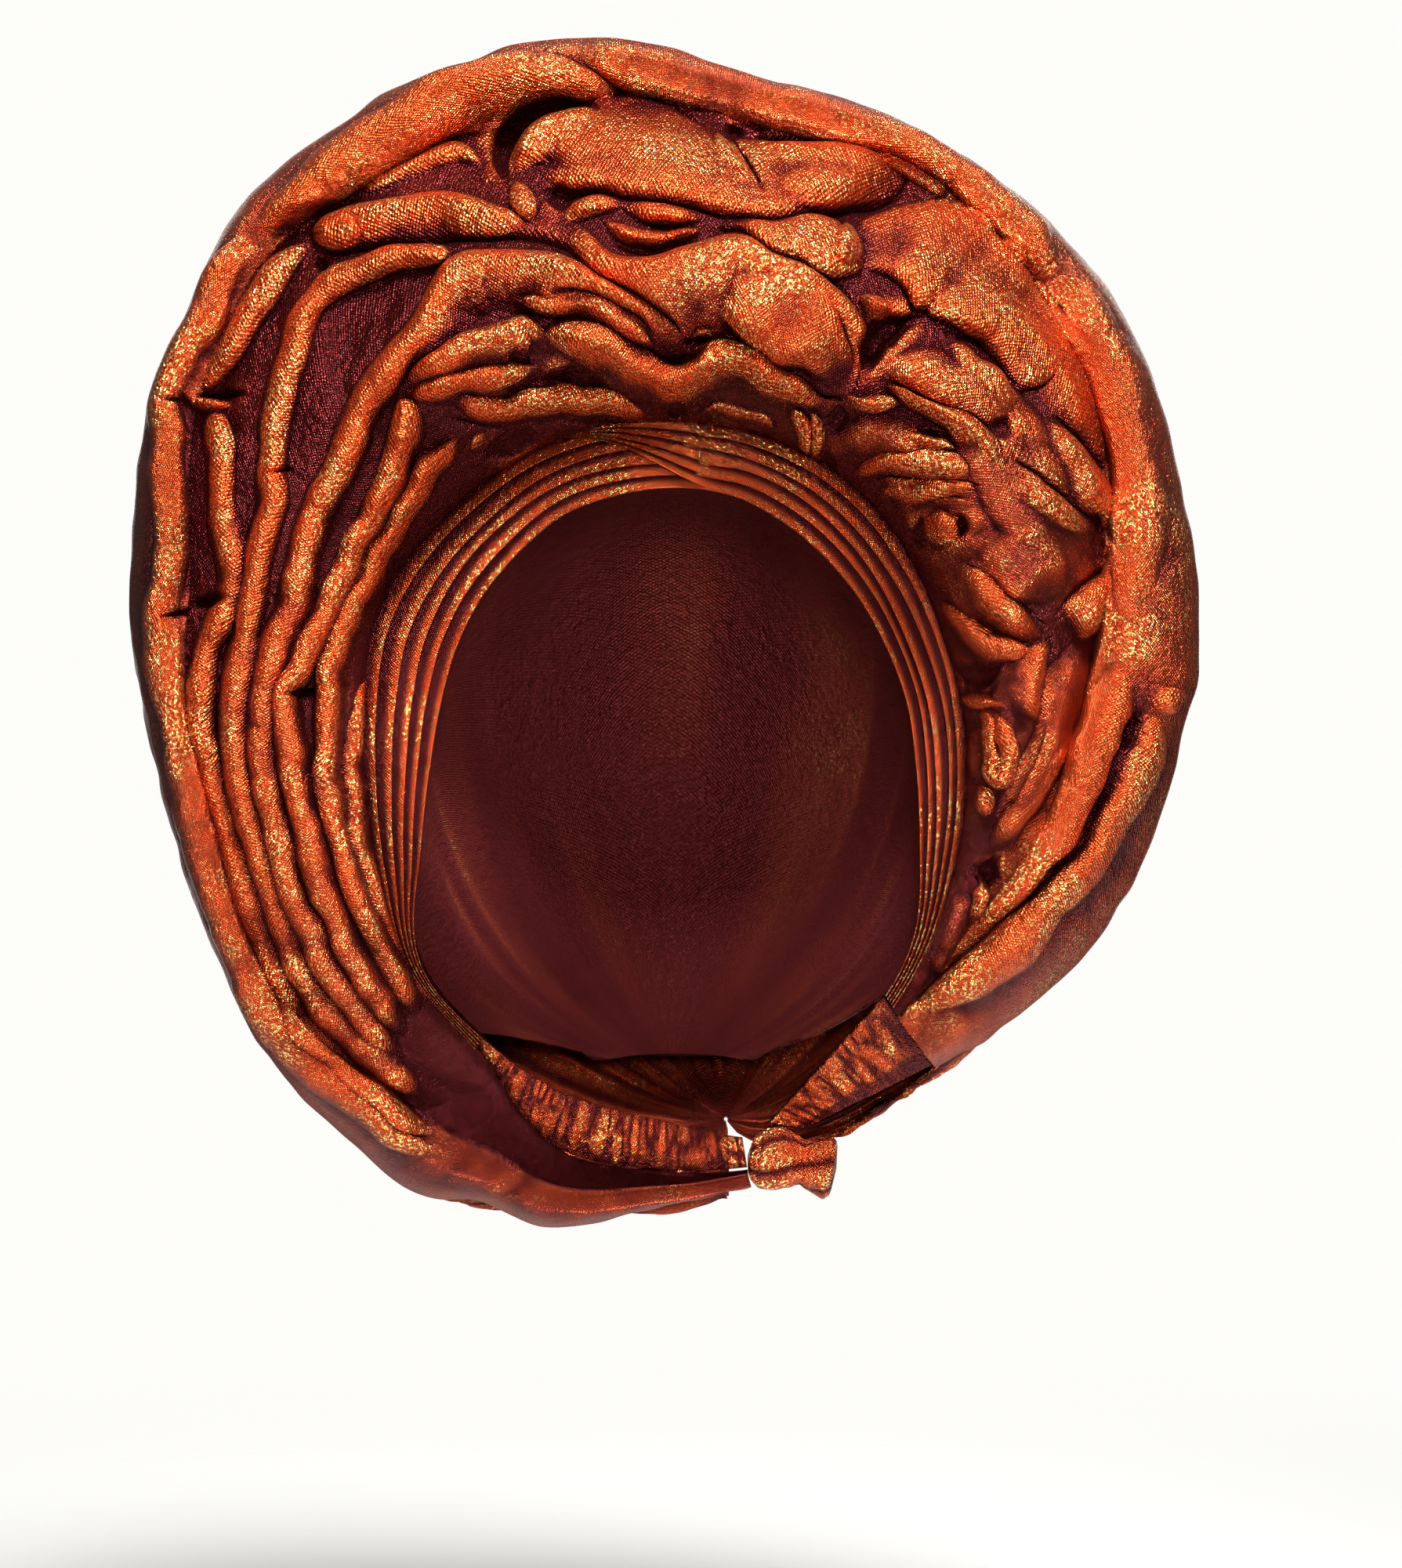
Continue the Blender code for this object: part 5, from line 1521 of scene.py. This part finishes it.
@dataclass
class Ties:
    """The two crinkled ties behind the neck and the knot that they end in."""

    left: Part
    right: Part
    knot_nodes: tuple[str, ...] = ("nape_knot",)
    left_ends: tuple[float, float] = (-150.0, -189.0)
    halo_end: float = 144.0
    knot_length: float = 0.030
    knot_radius: float = 0.0095
    knot_seat: float = 0.36
    tie_end_width: float = 0.011
    inset: float = 0.002
    seam: float = 0.0008
    thickness: float = 0.0015
    back_ratio: int = 4
    crinkles: tuple[tuple[float, Noise], ...] = (
        (1.0, Noise((1 / 3.2, 1 / 11), 0, (200.0, 30.0))),
        (0.5, Noise((1 / 1.5, 1 / 4), 1, (300.0, 60.0))),
    )
    crinkle_painted_light_mm: float = 1.3
    left_seed: int = 81
    left_edge: float = 0.35
    left_steps: tuple[int, int] = (241, 49)
    right_seed: int = 91
    right_edge: float = 0.3
    right_steps: tuple[int, int] = (201, 61)
    right_size: tuple[float, float] = (0.062, 0.024)
    right_reach: float = 1.7
    right_ease: float = 1.3
    right_narrowing: float = 0.5
    right_calm: float = 0.7
    right_calm_from: float = 0.72
    right_calm_span: float = 0.12
    tie_painted_light: tuple[float, float] = (0.2, 0.25)
    knot_axis: tuple[float, float, float] = (0.98, -0.08, -0.14)
    knot_side: tuple[float, float, float] = (0.25, -0.05, 0.95)
    knot_steps: tuple[int, int] = (97, 73)
    knot_ends: float = 0.04
    ridge_turns: float = 2.5
    ridge_twist: float = 3.0
    ridge_power: float = 0.7
    ridge_mm: float = 1.5
    ridge_sink_mm: float = 0.4
    grain_mm: float = 0.9
    grain: Noise = Noise((2.5, 2.5), 95, (9.0, 0.0))
    grain_twist: float = 3.6
    knot_painted_light: tuple[float, float] = (0.25, 0.6)
    knot_threads: tuple[float, float] = (0.008, 0.03)
    knot_profile: tuple[tuple[float, float], ...] = (
        (0.0, 0.02), (0.02, 0.38), (0.07, 0.66), (0.18, 0.92), (0.36, 1.00), (0.52, 0.80), (0.62, 0.62),
        (0.76, 0.82), (0.90, 0.98), (0.97, 0.80), (1.0, 0.02),
    )

    def crinkle(self, along_mm: Array, across_mm: Array, seed: int) -> Array:
        """Fine crosswise crinkles: ridged noise squeezed along the tie, in metres."""
        ridges = [tall * np.abs(2 * noise.at(along_mm, across_mm, seed) - 1) for tall, noise in self.crinkles]
        return sum(ridges) * MM

    def left_tie(self, material: bpy.types.Material) -> None:
        """Make the tie that carries on from the left wrap to the knot."""
        part = np.linspace(0, 1, self.left_steps[0])[:, None]
        across = np.linspace(0, 1, self.left_steps[1])[None, :]
        first, last = self.left_ends
        angle = first + (last - first) * part + 0 * across
        width = LAYOUT.band_edge(angle) - LAYOUT.face_edge(angle)
        place = across * (1 - self.inset / width)
        arc = np.radians(angle) * LAYOUT.face_edge(angle) / MM
        fade = self.left_edge + (1 - self.left_edge) * np.sin(np.pi * across) ** 0.5
        height = self.crinkle(-arc, place * width / MM, self.left_seed) * fade
        front = LAYOUT.band_point(angle, place, height)[::-1]
        flat = LAYOUT.band_point(angle, place)[::-1]
        back = (flat - self.thickness * grid_normals(flat))[:: self.back_ratio, :: self.back_ratio]
        # Painted shade in the crinkles' hollows and painted light on their tops.
        crest = np.clip(self.tie_painted_light[0] + height / (self.crinkle_painted_light_mm * MM), 0, 1)[::-1]
        uv = np.stack([arc * MM, place * width], axis=-1)[::-1]
        cloth = Cloth("left_tie_cloth", front, grid_normals(front), back, uv, crest)
        self.left.dress(cloth.build(), material)

    def knot_frame(self) -> tuple[Array, Array, Array, Array]:
        """Start of the knot at the end of the left tie, its axis, and two directions across it."""
        angle = np.array(self.left_ends[1])
        start = LAYOUT.band_point(angle - np.degrees(self.seam / LAYOUT.band_edge(angle)), np.array(0.5))
        axis = np.array(self.knot_axis)
        axis = axis / np.linalg.norm(axis)
        side = np.array(self.knot_side)
        side = side - axis * np.dot(side, axis)
        side = side / np.linalg.norm(side)
        return start, axis, side, np.cross(axis, side)

    def right_tie(self, material: bpy.types.Material) -> None:
        """Make the tie between the end of the halo and the knot, ruled between its two edges."""
        halo_end = np.array(self.halo_end)
        end_angle = halo_end + np.degrees(self.seam / LAYOUT.face_edge(halo_end))
        inner_start = LAYOUT.band_point(end_angle, np.array(0.0))
        outer_start = LAYOUT.halo_base(end_angle, np.array(self.right_reach))[0]
        start, axis, side, _ = self.knot_frame()
        seat = start + axis * self.knot_length * self.knot_seat + side * (self.knot_radius + 2 * self.seam)
        inner_end = seat - axis * self.tie_end_width / 2
        outer_end = seat + axis * self.tie_end_width / 2
        t = np.linspace(0, 1, self.right_steps[0])[:, None, None]
        w = np.linspace(0, 1, self.right_steps[1])[None, :, None]
        ways = 1 - (1 - t) ** self.right_ease
        inner_edge = inner_start + (inner_end - inner_start) * ways
        outer_edge = outer_start + (outer_end - outer_start) * ways
        middle = inner_edge + (outer_edge - inner_edge) * w
        normal = grid_normals(middle)
        t, w = t[..., 0] + 0 * w[..., 0], w[..., 0] + 0 * t[..., 0]
        uv = np.stack([t * self.right_size[0], w * self.right_size[1]], axis=-1)
        fade = self.right_edge + (1 - self.right_edge) * np.sin(np.pi * t) ** 0.5
        across_mm = uv[..., 1] / MM * (1 - self.right_narrowing * t)
        height = self.crinkle(uv[..., 0] / MM, across_mm, self.right_seed) * fade
        height = height * (1 - self.right_calm * ease((w - self.right_calm_from) / self.right_calm_span))
        front = middle + normal * height[..., None]
        back = (middle - normal * self.thickness)[:: self.back_ratio, :: self.back_ratio]
        # Painted shade in the crinkles' hollows and painted light on their tops.
        crest = np.clip(self.tie_painted_light[1] + height / (self.crinkle_painted_light_mm * MM), 0, 1)
        cloth = Cloth("right_tie_cloth", front, grid_normals(front), back, uv, crest)
        self.right.dress(cloth.build(), material)

    def knot(self, material: bpy.types.Material) -> None:
        """Make the knot: rings along its axis whose radius follows a profile, with ridges twisting round."""
        start, axis, side, other = self.knot_frame()
        profile = np.array(self.knot_profile)
        around = np.linspace(0, 2 * np.pi, self.knot_steps[0])[:, None]
        place = np.linspace(0, 1, self.knot_steps[1])[None, :]
        radius = self.knot_radius * np.interp(place, profile[:, 0], profile[:, 1])
        close = np.clip(np.minimum(place, 1 - place) / self.knot_ends, 0, 1)
        phase = self.ridge_turns * around + self.ridge_twist * (place - self.knot_seat)
        ridge = np.abs(np.cos(phase)) ** self.ridge_power
        grain = self.grain.at(np.cos(around), np.sin(around) + place * self.grain_twist)
        relief = self.ridge_mm * ridge - self.ridge_sink_mm + self.grain_mm * grain
        reach = radius + relief * MM * close
        centre = start + axis * (self.knot_length * place)[..., None]
        out = np.cos(around)[..., None] * side + np.sin(around)[..., None] * other
        rings = centre + reach[..., None] * out
        count, length = rings.shape[0] - 1, rings.shape[1]
        points = rings[:-1].reshape(-1, 3)
        number = np.arange(count * length).reshape(count, length)
        after = np.roll(number, -1, axis=0)
        corners = (number[:, :-1], after[:, :-1], after[:, 1:], number[:, 1:])
        quads = np.stack([corner.ravel() for corner in corners], axis=1)
        caps = [number[::-1, 0].tolist(), number[:, -1].tolist()]
        mesh = bpy.data.meshes.new("knot_roll")
        mesh.from_pydata(points.tolist(), [], quads[:, ::-1].tolist() + caps)
        # Painted light on the knot's ridges and painted shade between them.
        crest = (self.knot_painted_light[0] + self.knot_painted_light[1] * ridge)[:-1].astype(np.float32)
        mesh.attributes.new("crest", "FLOAT", "POINT").data.foreach_set("value", crest.ravel())
        turned, passed = np.broadcast_arrays(around * self.knot_threads[0], place * self.knot_threads[1])
        uv = np.stack([turned, passed], axis=-1)[:-1].reshape(-1, 2)
        corner_points = np.zeros(len(mesh.loops), np.int32)
        mesh.loops.foreach_get("vertex_index", corner_points)
        corner_uv = uv[corner_points].astype(np.float32)
        mesh.uv_layers.new(name="cloth").data.foreach_set("uv", corner_uv.ravel())
        mesh.shade_smooth()
        made = bpy.data.objects.new("knot_roll", mesh)
        bpy.context.scene.collection.objects.link(made)
        made.data.materials.append(material)
        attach(made, "root")
        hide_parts(*self.knot_nodes)
        LOG.info("%s: %d faces", made.name, len(mesh.polygons))

    def build(self, material: bpy.types.Material) -> None:
        """Make both ties and the knot.

        Args:
            material: The finish of all three.
        """
        self.left_tie(material)
        self.right_tie(material)
        self.knot(material)


@dataclass(frozen=True)
class Lamp:
    """One soft box: its place, what it looks at, its two sides and its power."""

    name: str
    place: tuple[float, float, float]
    target: tuple[float, float, float]
    size: tuple[float, float]
    watts: float
    spread: float = 180.0

    def build(self) -> None:
        """Add the light, turned towards its target."""
        data = bpy.data.lights.new(self.name, "AREA")
        data.shape = "RECTANGLE"
        data.size, data.size_y = self.size
        data.energy = self.watts
        data.spread = math.radians(self.spread)
        made = bpy.data.objects.new(self.name, data)
        made.location = self.place
        away = Vector(self.place) - Vector(self.target)
        made.rotation_euler = away.to_track_quat("Z", "Y").to_euler()
        bpy.context.scene.collection.objects.link(made)


@dataclass
class Studio:
    """Camera, floor, lights and surroundings."""

    lens: float = 86.36
    sensor: float = 36.0
    floor_drop: float = 0.47
    floor_size: float = 2.6
    floor_colour: tuple[float, float, float, float] = (0.93, 0.925, 0.90, 1.0)
    air: tuple[float, float, float, float] = (0.98, 0.975, 0.95, 1.0)
    sky_strength: float = 0.30
    sky: tuple[tuple[float, tuple[float, float, float, float]], ...] = (
        (0.0, (0.06, 0.055, 0.05, 1.0)),
        (0.50, (0.14, 0.135, 0.13, 1.0)),
        (0.70, (0.52, 0.51, 0.50, 1.0)),
        (1.0, (0.57, 0.56, 0.55, 1.0)),
    )
    lamps: tuple[Lamp, ...] = (
        Lamp("key", (0.16, -0.78, 0.94), (0.02, 0.0, 0.14), (0.32, 0.28), 10.5, 85.0),
        Lamp("fill", (0.15, -1.30, 0.10), (0.0, 0.0, 0.03), (0.36, 0.26), 4.0, 80.0),
        Lamp("back", (0.0, 1.6, 0.1), (0.0, 0.0, -0.08), (1.2, 0.9), 7.0),
    )

    def build(self) -> None:
        """Set the camera at the photograph's place, the lights, the pale surroundings and the floor."""
        camera = bpy.data.objects.new("camera", bpy.data.cameras.new("camera"))
        camera.data.lens = self.lens
        camera.data.sensor_width = self.sensor
        camera.location = (LAYOUT.eye_side, -LAYOUT.eye_distance, -LAYOUT.eye_drop)
        camera.rotation_euler = (math.pi / 2, 0.0, 0.0)
        camera.data.clip_start, camera.data.clip_end = 0.01, 60.0
        bpy.context.scene.collection.objects.link(camera)
        bpy.context.scene.camera = camera
        bpy.context.scene.view_settings.view_transform = "Standard"
        for lamp in self.lamps:
            lamp.build()
        self.surroundings()
        self.floor()

    def surroundings(self) -> None:
        """Pale air that the camera sees, and a dimmer sky, lighter above, that the cloth reflects."""
        world = bpy.data.worlds.new("studio")
        world.use_nodes = True
        bpy.context.scene.world = world
        tree = world.node_tree
        tree.nodes.clear()
        kinds = ("Background", "Background", "ValToRGB", "TexCoord", "SeparateXYZ", "LightPath", "MixShader")
        seen, felt, ramp, place, split, path, mixed = (tree.nodes.new("ShaderNode" + kind) for kind in kinds)
        output, shift = tree.nodes.new("ShaderNodeOutputWorld"), tree.nodes.new("ShaderNodeMapRange")
        seen.inputs["Color"].default_value = self.air
        seen.inputs["Strength"].default_value = 1.0
        felt.inputs["Strength"].default_value = self.sky_strength
        shift.inputs["From Min"].default_value, shift.inputs["From Max"].default_value = -1.0, 1.0
        Nodes.set_stops(ramp, self.sky)
        for start, end in (
            (place.outputs["Generated"], split.inputs[0]),
            (split.outputs["Z"], shift.inputs["Value"]),
            (shift.outputs[0], ramp.inputs["Fac"]),
            (ramp.outputs["Color"], felt.inputs["Color"]),
            (path.outputs["Is Camera Ray"], mixed.inputs[0]),
            (felt.outputs[0], mixed.inputs[1]),
            (seen.outputs[0], mixed.inputs[2]),
            (mixed.outputs[0], output.inputs["Surface"]),
        ):
            tree.links.new(start, end)

    def floor(self) -> None:
        """Pale floor well below the head tie."""
        half = self.floor_size / 2
        corners = [(-half, -half), (half, -half), (half, half), (-half, half)]
        mesh = bpy.data.meshes.new("floor")
        mesh.from_pydata([(x, y, 0.0) for x, y in corners], [], [(0, 1, 2, 3)])
        made = bpy.data.objects.new("floor", mesh)
        made.location.z = -self.floor_drop
        bpy.context.scene.collection.objects.link(made)
        mesh.materials.append(Plain("floor_paint", self.floor_colour).make())


def main() -> None:
    """Build every piece in order."""
    logging.basicConfig(level=logging.INFO, format="%(name)s: %(message)s")
    for made in list(bpy.data.objects):
        bpy.data.objects.remove(made, do_unlink=True)
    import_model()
    Studio().build()
    halo_finish = Brocade("halo_brocade").make()
    band_finish = Brocade("band_brocade", thread_mm=0.8, crinkle=0.6, roughness=0.24, glitter_painted_highlight=1.5).make()
    # Painted shade: the crown, seen from inside through the opening, gets a darker face colour.
    crown_painted_shade_face = (0.26, 0.04, 0.016, 1.0)
    crown_finish = Brocade("crown_brocade", face=crown_painted_shade_face, glitter_painted_highlight=0.2, roughness=0.55).make()
    back_finish = Brocade("back_brocade", glitter_painted_highlight=0.7).make()
    tie_finish = Brocade("tie_brocade", crinkle=1.4, glitter_painted_highlight=1.5, roughness=0.22).make()
    left_part = Part(("left_brow_wrap",), Slot.BAND, (0.24, 0.040), "folded", ("crown_cover",))
    right_part = Part(("right_brow_wrap",), Slot.BAND, (0.23, 0.036), "folded", ("crown_cover",))
    left_wrap = BrowWrap("left_wrap_pleats", -150.0, 14.0, (0.0, 0.0), left_part, seed=3)
    left_wrap.build(band_finish)
    right_wrap = BrowWrap("right_wrap_pleats", -24.0, 144.0, (12.0, -27.0), right_part, lift_mm=1.9, seed=7)
    right_wrap.build(band_finish)
    crown = Crown(Part(("crown_wrap",), Slot.CROWN, (0.34, 0.17), "stretched", ("head",)))
    crown.build(crown_finish)
    Halo().build(halo_finish)
    back_part = Part(("back_drape",), Slot.BACK, (0.80, 0.1725), "gathered", ("crown_cover",))
    BackDrape(back_part, crown).build(back_finish)
    Ties(
        Part(("left_tie",), Slot.TIE, (0.09, 0.020), "gathered", ("nape_knot",)),
        Part(("right_tie",), Slot.TIE, (0.062, 0.024), "gathered", ("nape_knot",)),
    ).build(tie_finish)
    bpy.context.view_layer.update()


if __name__ == "__main__":
    main()
